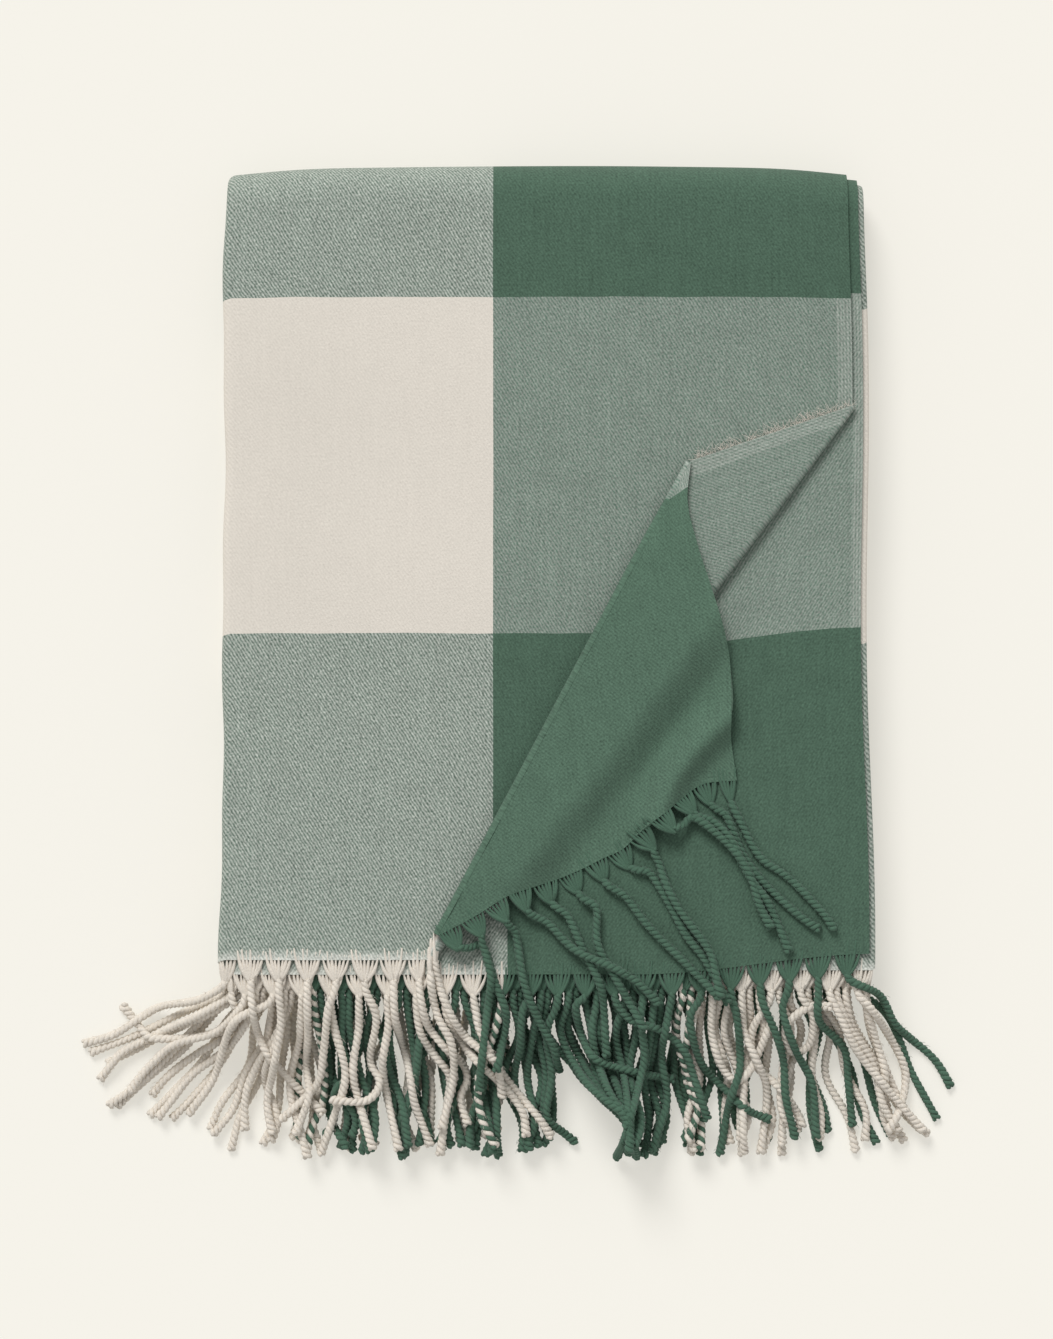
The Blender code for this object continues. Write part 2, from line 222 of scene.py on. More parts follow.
@dataclass(frozen=True)
class TwillFinish:
    """Brushed acrylic twill, woven from cream and green yarn in wide checks.

    It gives the eye broad even blocks, fine diagonal wales where the two yarns cross, a slubby
    tone and a matt nap. Scales are in cells per metre, so 1000 is a pattern of 1 mm.

    Attributes:
        side: the side of the cloth that this finish shows.
        cream: colour of the undyed yarn.
        green: colour of the dyed yarn.
        column: width of one warp colour, and first_column where the first one ends.
        row: length of one weft colour, and first_row how much of the first one is cut off.
        wale: distance across the cloth between two twill lines.
        wale_slope: rise of a twill line along the cloth for each unit across it.
        crispness: how clearly the twill lines show through the brushed nap.
        half_width: half the width of the cloth from selvedge to selvedge.
        lot: a word added to the material's name for a copy whose green is painted paler as painted
            light, where the nap lies another way.
        drift: how far the rows wander, and drift_scale of that wander.
        wobble: how far a wale strays, as a share of wale, and wobble_scale of that.
        nap: strength of the nap over the wales, and nap_scale of its tufts.
        selvedge: width of the close yarns at each side, and rib_turn their radians a metre.
        ragged: how unevenly the weft ends before the fringe, and ragged_scale of that.
        streak_scale, cloud_scale, fibre_scale: the yarn's streaks, brushed clouds and fibres.
        streak_stretch: how much a streak is squeezed along the warp, which makes it long.
        plainness: how much of the tone's change is lost where cream crosses cream.
    """

    side: Side
    cream: str = "#dcd5ca"
    green: str = "#4b6454"
    column: float = 0.1857
    first_column: float = 0.1800
    row: float = 0.1700
    first_row: float = 0.0002
    wale: float = 0.00171
    wale_slope: float = 1.57
    crispness: float = 1.0
    half_width: float = 0.6445
    lot: str = ""
    drift: float = 0.0012
    drift_scale: float = 38.0
    wobble: float = 0.8
    wobble_scale: float = 300.0
    nap: float = 3.2
    nap_scale: float = 760.0
    selvedge: float = 0.0075
    rib_turn: float = 3900.0
    ragged: float = 0.008
    ragged_scale: float = 520.0
    streak_scale: float = 620.0
    streak_stretch: float = 0.045
    cloud_scale: float = 95.0
    fibre_scale: float = 820.0
    plainness: float = 0.78

    def yarn_parity(self, tree: Tree, place: Socket, size: float, offset: float) -> Socket:
        """Return 0 on even bands and 1 on odd bands of a repeating stripe."""
        band = maths(tree, "DIVIDE", maths(tree, "ADD", place, offset), size)
        return maths(tree, "MODULO", maths(tree, "FLOOR", band), 2.0)

    def twill_lines(self, tree: Tree, across: Socket, along: Socket, flat: Socket) -> Socket:
        """Find how much warp yarn shows, from the diagonal wales and the nap over them.

        Args:
            tree: the material's nodes.
            across: distance across the flat cloth.
            along: distance along it.
            flat: both together.

        Returns:
            The share of warp, 0 to 1.
        """
        wobble = noise(tree, flat, self.wobble_scale, 2.0)
        slant = maths(tree, "MULTIPLY_ADD", along, -1.0 / self.wale_slope, across)
        loose = maths(tree, "MULTIPLY_ADD", wobble, self.wobble * self.wale, slant)
        wave = maths(tree, "SINE", maths(tree, "MULTIPLY", loose, 2 * math.pi / self.wale))
        nap = centred(tree, noise(tree, flat, self.nap_scale, 3.0), self.nap)
        lines = maths(tree, "MULTIPLY_ADD", wave, 0.66 * self.crispness, nap)
        return add_node(tree, "MapRange", {0: lines, 1: -1.0, 2: 1.0}).outputs[0]

    def selvedge_ribs(self, tree: Tree, across: Socket, mixed: Socket) -> Socket:
        """Find the cream added by the selvedge's last yarns, which show as pale ribs.

        Args:
            tree: the material's nodes.
            across: distance across the flat cloth.
            mixed: 1 where the two yarns cross.

        Returns:
            The share of cream to add.
        """
        edge = maths(tree, "ABSOLUTE", maths(tree, "SUBTRACT", across, self.half_width))
        ribbed = maths(tree, "GREATER_THAN", edge, self.half_width - self.selvedge)
        wave = maths(tree, "SINE", maths(tree, "MULTIPLY", across, self.rib_turn))
        rib = maths(tree, "MULTIPLY_ADD", wave, 0.08, 0.10)
        return maths(tree, "MULTIPLY", maths(tree, "MULTIPLY", ribbed, mixed), rib)

    def tone(self, tree: Tree, flat: Socket, lines: Socket, fibre: Socket, same: Socket) -> Socket:
        """Find how light the cloth is: streaks along uneven yarn and clouds where it was brushed.

        Args:
            tree: the material's nodes.
            flat: place on the flat cloth.
            lines: the twill lines.
            fibre: the noise of single fibres.
            same: 1 where cream crosses cream.

        Returns:
            The factor on the cloth's colour.
        """
        stretched = add_node(tree, "Mapping", {0: flat, 3: (1.0, self.streak_stretch, 1.0)})
        streak = noise(tree, stretched.outputs[0], self.streak_scale, 2.0)
        cloud = noise(tree, flat, self.cloud_scale, 4.0)
        tone = maths(tree, "MULTIPLY_ADD", streak, 0.30, 0.85)
        for part, reach in ((cloud, 0.26), (fibre, 1.15), (lines, 0.24)):
            tone = maths(tree, "ADD", tone, centred(tree, part, reach))
        plain = maths(tree, "MULTIPLY", same, self.plainness)
        rest = maths(tree, "MULTIPLY", tone, maths(tree, "SUBTRACT", 1.0, plain))
        return maths(tree, "ADD", plain, rest)

    def dress(self, tree: Tree) -> dict:
        """Build the cloth's nodes.

        Args:
            tree: the material's nodes.

        Returns:
            The shader's inputs.
        """
        flat = add_node(tree, "UVMap", uv_map=FLAT_MAP).outputs[0]
        across, picks = add_node(tree, "SeparateXYZ", {0: flat}).outputs[:2]
        shift = centred(tree, noise(tree, flat, self.drift_scale, 2.0), self.drift)
        along = maths(tree, "ADD", picks, shift)
        warp = self.yarn_parity(tree, across, self.column, self.column - self.first_column)
        weft = self.yarn_parity(tree, along, self.row, self.first_row)
        lines = self.twill_lines(tree, across, along, flat)
        # Where warp and weft differ the wales show: more warp on a line, more weft between.
        cream_warp = maths(tree, "MULTIPLY_ADD", lines, 0.52, 0.11)
        cream_weft = maths(tree, "MULTIPLY_ADD", lines, -0.40, 0.445)
        same = maths(tree, "MULTIPLY", warp, weft)
        warp_only = maths(tree, "MULTIPLY", maths(tree, "SUBTRACT", warp, same), cream_warp)
        weft_only = maths(tree, "MULTIPLY", maths(tree, "SUBTRACT", weft, same), cream_weft)
        share = maths(tree, "ADD", same, maths(tree, "ADD", warp_only, weft_only))
        both = maths(tree, "ADD", warp, weft)
        mixed = maths(tree, "SUBTRACT", both, maths(tree, "MULTIPLY", same, 2.0))
        share = maths(tree, "ADD", share, self.selvedge_ribs(tree, across, mixed))
        # The weft thins out over the last picks, so the warp's own colour takes over.
        ragged = noise(tree, flat, self.ragged_scale, 2.0)
        edge_row = maths(tree, "MULTIPLY_ADD", ragged, -self.ragged, along)
        fade = {0: edge_row, 1: 0.0055, 2: 0.0005, 3: 0.0, 4: 0.85}
        thin = add_node(tree, "MapRange", fade).outputs[0]
        share = add_node(tree, "Mix", {0: thin, 2: share, 3: warp}).outputs[0]
        base = blend_colour(tree, share, linear(self.green), linear(self.cream))
        # Mixed cells look a little cooler than an even blend: the green nap lies on top.
        cool = blend_colour(tree, mixed, (1.0, 1.0, 1.0, 1.0), (0.93, 1.01, 1.045, 1.0))
        base = add_node(tree, "VectorMath", {0: base, 1: cool}, operation="MULTIPLY").outputs[0]
        fibre = noise(tree, flat, self.fibre_scale, 3.0)
        tone = self.tone(tree, flat, lines, fibre, same)
        toned = add_node(tree, "VectorMath", {0: base, 3: tone}, operation="SCALE")
        relief = maths(tree, "ADD", lines, maths(tree, "MULTIPLY", fibre, 0.8))
        bump = add_node(tree, "Bump", {"Strength": 0.45, "Distance": 0.0003, "Height": relief})
        return {"Base Color": toned.outputs[0], "Normal": bump.outputs[0], "Roughness": 0.96,
                "Specular IOR Level": 0.15, "Sheen Weight": 0.08, "Sheen Roughness": 0.6}

    def material(self) -> Material:
        """Make the cloth's material."""
        return finish_material(f"brushed_acrylic_twill_{self.side.value}{self.lot}", self.dress)


@dataclass(frozen=True)
class YarnFinish:
    """Soft twisted acrylic yarn of the fringe.

    It gives the eye fine fibre streaks, a slight change of tone along each cord and no shine.

    Attributes:
        yarn: which of the two yarns it is.
        colour: its colour in open light.
        fibre_scale: cells per metre of its fibres, and slub_scale of its thick and thin places.
    """

    yarn: Yarn
    colour: str
    fibre_scale: float = 1300.0
    slub_scale: float = 160.0

    def dress(self, tree: Tree) -> dict:
        """Build the yarn's nodes.

        Args:
            tree: the material's nodes.

        Returns:
            The shader's inputs.
        """
        place = add_node(tree, "TexCoord").outputs["Object"]
        fibre = noise(tree, place, self.fibre_scale, 3.0)
        slub = noise(tree, place, self.slub_scale, 2.0)
        tone = maths(tree, "MULTIPLY_ADD", fibre, 0.42, 0.79)
        tone = maths(tree, "ADD", tone, centred(tree, slub, 0.24))
        inputs = {0: linear(self.colour)[:3], 3: tone}
        toned = add_node(tree, "VectorMath", inputs, operation="SCALE")
        bump = add_node(tree, "Bump", {"Strength": 0.6, "Distance": 0.0004, "Height": fibre})
        return {"Base Color": toned.outputs[0], "Normal": bump.outputs[0], "Roughness": 0.97,
                "Specular IOR Level": 0.12, "Sheen Weight": 0.12, "Sheen Roughness": 0.5}

    def material(self) -> Material:
        """Make the yarn's material."""
        return finish_material(f"twisted_acrylic_yarn_{self.yarn.value}", self.dress)


@dataclass(frozen=True)
class Layout:
    """Where the folds, hems and layers of the CAD frame lie.

    Attributes:
        left, right, back, front: the lines where the flat layers start to bend.
        selvedge: the free side edges of the outer strip and the inner strip.
        face_hem, under_hem: how far forward each strip's hem reaches, by strip number.
        floor_level: height of the lowest layer's middle.
        pitch: height from one layer to the next.
    """

    left: float
    right: float
    back: float
    front: float
    selvedge: tuple[float, float]
    face_hem: tuple[float, ...]
    under_hem: tuple[float, ...]
    floor_level: float
    pitch: float

    def level(self, number: Numbers) -> Numbers:
        """Return the height of a layer's middle, counted from the floor."""
        return self.floor_level + number * self.pitch


def read_layout() -> Layout:
    """Measure the CAD frame's leaves.

    Returns:
        The layout that every cloth piece is built on.
    """
    strips = (1, 2, 3, 4)
    base, top, lower = (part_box(f"leaf_{name}") for name in ("base_1", "face_1", "lower_2"))
    low_middle = (base[0].z + base[1].z) / 2
    top_middle = (top[0].z + top[1].z) / 2
    return Layout(
        left=lower[0].x,
        right=lower[1].x,
        back=lower[1].y,
        front=lower[0].y,
        selvedge=(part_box("leaf_lower_1")[1].x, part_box("leaf_lower_4")[1].x),
        face_hem=tuple(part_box(f"leaf_face_{i}")[0].y for i in strips),
        under_hem=tuple(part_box(f"leaf_under_{i}")[0].y for i in strips),
        floor_level=low_middle,
        pitch=(top_middle - low_middle) / TOP_LEVEL,
    )


def settle(points: np.ndarray) -> np.ndarray:
    """Relax ideal folds into cloth folded by hand: bowed sides, soft corners, faint swells.

    Args:
        points: positions in the object's frame.

    Returns:
        The moved positions.
    """
    x, y, z = points.T
    near_front = smooth(0.02, -0.16, y)
    moved = points.copy()
    # The sides bow by a few millimetres, more towards the front.
    bow_left = -0.0022 * near_front - 0.0007 * np.sin(34 * y + 1.0) - 0.0004 * np.sin(91 * y + 2.0)
    bow_right = 0.0012 + 0.0042 * near_front**1.5 + 0.0006 * np.sin(30 * y + 4.0)
    moved[:, 0] += bow_left * smooth(0.02, -0.15, x) + bow_right * smooth(0.03, 0.175, x)
    # The back edge sags a little between corners that round off.
    corner = smooth(0.085, 0.18, np.abs(x - 0.012)) ** 2
    tail = smooth(0.16, 0.25, y)
    moved[:, 1] += tail * (0.0008 * np.sin(17 * x + 1.2) - 0.0042 * corner)
    moved[:, 0] -= 0.0016 * tail * corner * np.sign(x)
    # Four crossing swells lift the cloth by a share of its height; the edges lie pressed.
    swell = 0.020 * np.sin(19 * x + 23 * y + 0.5) + 0.018 * np.sin(33 * x - 14 * y + 2.1)
    swell += 0.012 * np.sin(61 * x + 9 * y + 3.3) + 0.010 * np.sin(12 * x + 57 * y)
    edge = 1 - 0.05 * smooth(0.13, 0.175, np.abs(x - 0.014)) - 0.05 * smooth(0.20, 0.25, y)
    moved[:, 2] = z * (edge + swell * smooth(0.0, 0.03, z))
    return moved


def add_object(name: str, data: bpy.types.ID) -> bpy.types.Object:
    """Put a mesh, a light or a camera into the scene.

    Args:
        name: the new object's name.
        data: what it shows or is.

    Returns:
        The object.
    """
    made = bpy.data.objects.new(name, data)
    bpy.context.scene.collection.objects.link(made)
    return made


def yarn_piece(name: str, points: list, faces: list, finish: Material) -> bpy.types.Object:
    """Make a piece from swept strands.

    Args:
        name: the piece's name.
        points: one array of positions for each strand.
        faces: every strand's faces, numbered through all the points.
        finish: the strands' material.

    Returns:
        The piece.
    """
    mesh = bpy.data.meshes.new(name)
    mesh.from_pydata(np.vstack(points).tolist(), [], faces)
    mesh.materials.append(finish)
    mesh.shade_smooth()
    return add_object(name, mesh)


def cloth_piece(name: str, points: np.ndarray, flats: np.ndarray, quads: list,
                thickness: float, finishes: tuple[Material, Material]) -> bpy.types.Object:
    """Make a piece of cloth from a surface: its thickness, face, back and flat coordinates.

    Args:
        name: the piece's name.
        points: positions of the cloth's middle surface.
        flats: where each point lies on the flat cloth, in metres.
        quads: faces, wound so that the cloth's face side looks outward.
        thickness: thickness of the cloth.
        finishes: materials of the face and of the back.

    Returns:
        The piece, with its thickness applied.
    """
    mesh = bpy.data.meshes.new(name)
    mesh.from_pydata([tuple(p) for p in points], [], quads)
    flat_map = mesh.uv_layers.new(name=FLAT_MAP)
    corners = np.array([loop.vertex_index for loop in mesh.loops])
    flat_map.data.foreach_set("uv", np.asarray(flats, np.float32)[corners].ravel())
    for finish in finishes:
        mesh.materials.append(finish)
    made = add_object(name, mesh)
    shell = made.modifiers.new("thickness", "SOLIDIFY")
    shell.thickness = thickness
    shell.offset = 0.0
    shell.material_offset = 1
    graph = bpy.context.evaluated_depsgraph_get()
    solid = bpy.data.meshes.new_from_object(made.evaluated_get(graph))
    made.modifiers.clear()
    made.data = solid
    solid.name = name
    solid.shade_smooth()
    solid.set_sharp_from_angle(angle=math.radians(50))
    return made


def grid_quads(columns: int, rows: int, start: int = 0) -> list[tuple[int, int, int, int]]:
    """List the faces of a grid whose points run row by row inside each column, face side up."""
    index = [(c * rows + r + start) for c in range(columns - 1) for r in range(rows - 1)]
    return [(i, i + 1, i + 1 + rows, i + rows) for i in index]


def distances(path: np.ndarray) -> np.ndarray:
    """Return the distance of each point of a polyline from its start."""
    return np.concatenate([[0.0], np.cumsum(np.linalg.norm(np.diff(path, axis=0), axis=1))])


def sample(wanted: np.ndarray, places: np.ndarray, path: np.ndarray) -> np.ndarray:
    """Return a path's points at the wanted distances, from its own points' places."""
    return np.stack([np.interp(wanted, places, part) for part in path.T], axis=1)


def even_out(values: np.ndarray, kernel: np.ndarray) -> np.ndarray:
    """Average each value with three on either side, repeating the end values."""
    padded = np.concatenate([[values[0]] * 3, values, [values[-1]] * 3])
    return np.convolve(padded, kernel, mode="valid")


def sideways(path: np.ndarray) -> tuple[np.ndarray, np.ndarray]:
    """Find two directions square to a path.

    Args:
        path: the path's points.

    Returns:
        At each point a level direction and one that points up.
    """
    ahead = np.gradient(path, axis=0)
    ahead /= np.linalg.norm(ahead, axis=1)[:, None]
    across = np.cross(ahead, NEARLY_UP)
    across /= np.linalg.norm(across, axis=1)[:, None]
    return across, np.cross(across, ahead)


def along_path(path: np.ndarray, count: int) -> np.ndarray:
    """Space points evenly along a polyline.

    Args:
        path: the polyline's points.
        count: how many points to return.

    Returns:
        The evenly spaced points.
    """
    places = distances(path)
    return sample(np.linspace(0.0, places[-1], count), places, path)


def curve_through(points: np.ndarray, each: int = 12) -> np.ndarray:
    """Draw a smooth curve through given points.

    Args:
        points: the points that the curve passes.
        each: samples between two of them.

    Returns:
        The curve's samples.
    """
    ends = np.vstack([2 * points[0] - points[1], points, 2 * points[-1] - points[-2]])
    samples = []
    for a, b, c, d in zip(ends[:-3], ends[1:-2], ends[2:-1], ends[3:]):
        for t in np.linspace(0, 1, each, endpoint=False):
            samples.append(0.5 * (2 * b + (c - a) * t + (2 * a - 5 * b + 4 * c - d) * t**2
                                  + (3 * b - a - 3 * c + d) * t**3))
    return np.vstack([samples, points[-1:]])


@dataclass
class TurnedCorner:
    """The corner of the top strip, folded over once to the left and then back over itself.

    Attributes:
        layout: the frame's layout.
        lower_top, lower_foot: ends of the first crease.
        hinge_top, hinge_foot: ends of the second crease, where the flap turns over.
        flat_side, flat_hem: lengths of selvedge and hem that the turned part takes.
        flat_run: place of the first crease along the hem of the flat cloth.
        grain: rows of points along a crease.
        selvedge_mm, hem_mm: the loose flap's outline in plan, given from the object's origin.
        crest_mm: the top of the flap's one wave.
        wave_height, wave_width: size of that wave.
        drop: distances past the first crease between which the flap comes down.
        lip_place, lip_size, lip_height: a low rise on the free edge, in plan and in height.
        pucker_height: height of the ripples near the hem.
    """

    layout: Layout
    lower_top: tuple[float, float] = (0.1675, 0.1315)
    lower_foot: tuple[float, float] = (-0.0455, -0.1492)
    hinge_top: tuple[float, float] = (0.0866, 0.1033)
    hinge_foot: tuple[float, float] = (-0.0396, -0.1366)
    flat_side: float = 0.185
    flat_hem: float = 0.178
    flat_run: float = 0.213
    grain: int = 60
    selvedge_mm: tuple[tuple[float, float], ...] = (
        (109.0, -58.6), (107.2, -44.9), (106.0, -33.7), (107.2, -16.9), (106.4, 1.8),
        (102.5, 20.5), (97.0, 39.2), (90.2, 59.7), (85.0, 82.0), (86.6, 103.3),
    )
    hem_mm: tuple[tuple[float, float], ...] = (
        (-39.6, -136.6), (-21.7, -127.0), (-8.6, -118.4), (0.7, -114.3), (25.0, -106.6),
        (43.7, -97.6), (53.0, -93.2), (62.4, -83.8), (73.5, -74.2), (81.0, -67.8),
        (92.2, -60.4), (109.0, -58.6),
    )
    crest_mm: tuple[tuple[float, float], ...] = (
        (122.0, 2.0), (109.0, -22.0), (93.0, -38.0), (79.0, -55.0), (70.5, -75.0), (66.0, -92.0),
    )
    wave_height: float = 0.0100
    wave_width: float = 0.0070
    drop: tuple[float, float] = (0.008, 0.030)
    lip_place: tuple[float, float] = (0.105, 0.012)
    lip_size: tuple[float, float] = (0.010, 0.022)
    lip_height: float = 0.0030
    pucker_height: float = 0.0006

    def crease(self, top: tuple, foot: tuple, along: np.ndarray) -> np.ndarray:
        """Return points on a crease, from 0 at its foot to 1 at its top."""
        return np.asarray(foot) + np.outer(along, np.subtract(top, foot))

    def looseness(self, along: np.ndarray) -> np.ndarray:
        """Return how far the turned layers stand open along a crease: pressed near the top."""
        return 0.55 + 0.45 * smooth(1.0, 0.75, along) - 0.12 * smooth(0.12, 0.0, along)

    def past_lower(self, xy: np.ndarray) -> np.ndarray:
        """Measure how far points lie to the right of the first crease.

        Args:
            xy: the points in plan.

        Returns:
            Their distances, below zero on the left.
        """
        run = np.subtract(self.lower_top, self.lower_foot)
        normal = np.array([run[1], -run[0]]) / np.linalg.norm(run)
        return (xy - np.asarray(self.lower_foot)) @ normal

    def height(self, xy: np.ndarray, along: np.ndarray) -> np.ndarray:
        """Find the loose flap's height: it rides high over the creases, drops, and lifts in a wave.

        Args:
            xy: points of the flap in plan.
            along: 0 at the hem to 1 at the top.

        Returns:
            The height of each point.
        """
        high = self.layout.level(TOP_LEVEL) + 4 * self.layout.pitch * self.looseness(along)
        # It rests on the leaf at level 14, a tenth of a layer into its nap.
        low = self.layout.level(14.9)
        fall = mix(high, low, smooth(*self.drop, self.past_lower(xy)))
        crest = curve_through(np.array(self.crest_mm) * MM, 8)
        gap = np.linalg.norm(xy[:, None, :] - crest[None, :, :], axis=2)
        wave = self.wave_height * np.exp(-((gap.min(axis=1) / self.wave_width) ** 2))
        x, y = xy.T
        (lip_x, lip_y), (wide, tall) = self.lip_place, self.lip_size
        away = ((x - lip_x) / wide) ** 2 + ((y - lip_y) / tall) ** 2
        lip = self.lip_height * np.exp(-away)
        pucker = self.pucker_height * np.sin(210 * x + 60 * y) * smooth(-0.03, -0.10, y)
        return fall + wave + lip + pucker

    def flap_surface(self, across: np.ndarray, along: np.ndarray) -> np.ndarray:
        """Return points of the loose flap.

        Args:
            across: 0 at the second crease to 1 at the selvedge.
            along: 0 at the hem to 1 at the top.

        Returns:
            Settled positions.
        """
        selvedge = along_path(curve_through(np.array(self.selvedge_mm) * MM), 200)
        hem = along_path(curve_through(np.array(self.hem_mm) * MM), 200)
        scale = np.linspace(0, 1, 200)
        start = self.crease(self.hinge_top, self.hinge_foot, along)
        xy = mix(start, sample(along, scale, selvedge), across[:, None])
        bottom = sample(across, scale, hem)
        corner = np.asarray(self.selvedge_mm[0]) * MM
        straight = mix(np.asarray(self.hinge_foot), corner, across[:, None])
        xy = xy + (bottom - straight) * ((1 - along) ** 3)[:, None]
        return settle(np.column_stack([xy, self.height(xy, along)]))

    def bend_surface(self, turn: np.ndarray, along: np.ndarray) -> np.ndarray:
        """Return points of the second crease's round bend.

        Args:
            turn: 0 under the bend to 1 on top.
            along: 0 at the hem to 1 at the top.

        Returns:
            Settled positions.
        """
        radius = self.layout.pitch * self.looseness(along)
        run = np.subtract(self.hinge_top, self.hinge_foot)
        outward = np.array([-run[1], run[0]]) / np.linalg.norm(run)
        xy = self.crease(self.hinge_top, self.hinge_foot, along)
        xy = xy + outward * (radius * np.sin(math.pi * turn))[:, None]
        z = self.layout.level(TOP_LEVEL) + radius * (3 - np.cos(math.pi * turn))
        return settle(np.column_stack([xy, z]))

    def grid(self, columns: int) -> tuple[np.ndarray, np.ndarray, list]:
        """Lay a grid over a part of the corner; it stops just short of the crease's top.

        Args:
            columns: points across the part.

        Returns:
            The share across and along of each point, and the faces.
        """
        shares = np.linspace(1, 0, columns), np.linspace(0, 0.995, self.grain)
        across, along = np.meshgrid(*shares, indexing="ij")
        return across.ravel(), along.ravel(), grid_quads(columns, self.grain)

    def build_flap(self, finishes: tuple, thickness: float) -> bpy.types.Object:
        """Make the loose flap as its own sheet.

        Args:
            finishes: materials of the face and the back.
            thickness: thickness of the cloth.

        Returns:
            The flap.
        """
        a, b, quads = self.grid(56)
        flats = np.column_stack([self.flat_hem * (1 - b) * (1 - a), self.flat_side * b])
        surface = self.flap_surface(a, b)
        return cloth_piece("turned_corner", surface, flats, quads, thickness, finishes)

    def build_bend(self, finishes: tuple, thickness: float) -> bpy.types.Object:
        """Make the bend that joins the loose flap to the cloth below it.

        Args:
            finishes: materials of the face and the back.
            thickness: thickness of the cloth.

        Returns:
            The bend.
        """
        a, b, quads = self.grid(13)
        extra = 0.002 * (1 - a)
        flats = np.column_stack([self.flat_hem * (1 - b) + extra, self.flat_side * b + extra])
        surface = self.bend_surface(a, b)
        return cloth_piece("corner_bend", surface, flats, quads, thickness, finishes)


@dataclass
class FoldedSheet:
    """The whole woven sheet, folded into four strips and four panels.

    Attributes:
        layout: the frame's layout.
        corner: the turned-back corner that the top strip runs into.
        thickness: thickness of the cloth under its own weight.
        edge_trim: how far the woven edge stops before the hem line, where the fringe takes over.
    """

    layout: Layout
    corner: TurnedCorner
    thickness: float = 0.0015
    edge_trim: float = 0.0045

    def section(self) -> dict[str, np.ndarray]:
        """Lay out the columns across the sheet.

        Returns:
            For each column its distance u across the flat cloth, its place x, its height w within a
            panel in layer pitches, and the strips' fractional number for the hem.
        """
        lay = self.layout
        foot = self.corner.lower_foot[0]
        x, w, strip = [], [], []

        def run(start: float, end: float, level: float, count: int, number: int) -> None:
            """Add a flat stretch of columns.

            Args:
                start, end: places of its ends.
                level: its height within a panel.
                count: how many columns.
                number: the strip's number.
            """
            x.extend(np.linspace(start, end, count))
            w.extend([level] * count)
            strip.extend([float(number)] * count)

        def arc(line: float, out: int, low: float, high: float, count: int, number: int) -> None:
            """Add a half-round fold between two flat stretches.

            Args:
                line: where the bend starts.
                out: 1 where it bulges to the right, -1 to the left.
                low, high: heights that it joins, within a panel.
                count: how many columns.
                number: the number of the strip before it.
            """
            turn = np.linspace(0, math.pi, count + 2)[1:-1]
            x.extend(line + out * abs(high - low) / 2 * lay.pitch * np.sin(turn))
            w.extend((low + high) / 2 + (low - high) / 2 * np.cos(turn))
            strip.extend(number + turn / math.pi)

        # Strips 1 and 2 lie outside 3 and 4, so the fold between them spans all four. Columns
        # stand about 7 mm apart.
        run(lay.selvedge[0], foot, 1.5, 34, 1)
        run(foot - 0.006, lay.left, 1.5, 16, 1)
        arc(lay.left, -1, 1.5, -1.5, 9, 1)
        run(lay.left, lay.right, -1.5, 46, 2)
        arc(lay.right, 1, -1.5, -0.5, 5, 2)
        run(lay.right, lay.left, -0.5, 46, 3)
        arc(lay.left, -1, -0.5, 0.5, 5, 3)
        run(lay.left, lay.selvedge[1], 0.5, 46, 4)
        x, w, strip = np.array(x), np.array(w), np.array(strip)
        steps = np.hypot(np.diff(x), lay.pitch * np.diff(w))
        return {"x": x, "w": w, "strip": strip, "u": np.concatenate([[0.0], np.cumsum(steps)])}

    def hem_line(self, hem: Hem, strip: Numbers, x: Numbers) -> Numbers:
        """Find how far forward a hem reaches; the inner strip's face hem hangs lower on the left.

        Args:
            hem: which of the two hems.
            strip: number of the strip, with a fraction inside a fold.
            x: place across the pack.

        Returns:
            The place of the hem.
        """
        values = self.layout.face_hem if hem is Hem.FACE else self.layout.under_hem
        line = np.interp(strip, (1, 2, 3, 4), values)
        if hem is Hem.FACE:
            inner = np.clip(np.asarray(strip) - 3, 0, 1)
            line = line + inner * mix(0.0, 0.0105, smooth(0.06, 0.175, x))
        return line

    def column(self, x: float, w: float, hem: float, under: float,
               start: float) -> tuple[np.ndarray, np.ndarray]:
        """Lay one column of the sheet from its top hem, round every fold, to its lower hem.

        Args:
            x: place of the column.
            w: its height within a panel, in layer pitches.
            hem, under: places of the two hems.
            start: where this column's top panel begins.

        Returns:
            Positions and distances along the flat cloth.
        """
        lay = self.layout
        points = []

        def run(first: float, last: float, level: float, count: int) -> None:
            """Add a flat stretch."""
            points.extend((x, y, lay.level(level)) for y in np.linspace(first, last, count))

        def arc(line: float, outward: float, low: float, high: float, count: int) -> None:
            """Add a half-round fold between two levels.

            Args:
                line: where the bend starts.
                outward: 1 where it bulges to the back, -1 to the front.
                low, high: levels that it joins.
                count: how many points.
            """
            for turn in np.linspace(0, math.pi, count + 2)[1:-1]:
                y = line + outward * abs(high - low) / 2 * lay.pitch * math.sin(turn)
                level = (low + high) / 2 + (low - high) / 2 * math.cos(turn)
                points.append((x, y, lay.level(level)))

        # From the top panel round the back to the base, then up through the two inside.
        run(start, lay.back, 13.5 + w, 46)
        arc(lay.back, 1, 13.5 + w, 1.5 - w, 15)
        run(lay.back, lay.front, 1.5 - w, 30)
        arc(lay.front, -1, 1.5 - w, 5.5 + w, 9)
        run(lay.front, lay.back, 5.5 + w, 30)
        arc(lay.back, 1, 5.5 + w, 9.5 - w, 7)
        run(lay.back, under, 9.5 - w, 30)
        points = np.array(points)
        return points, (start - hem) + distances(points)

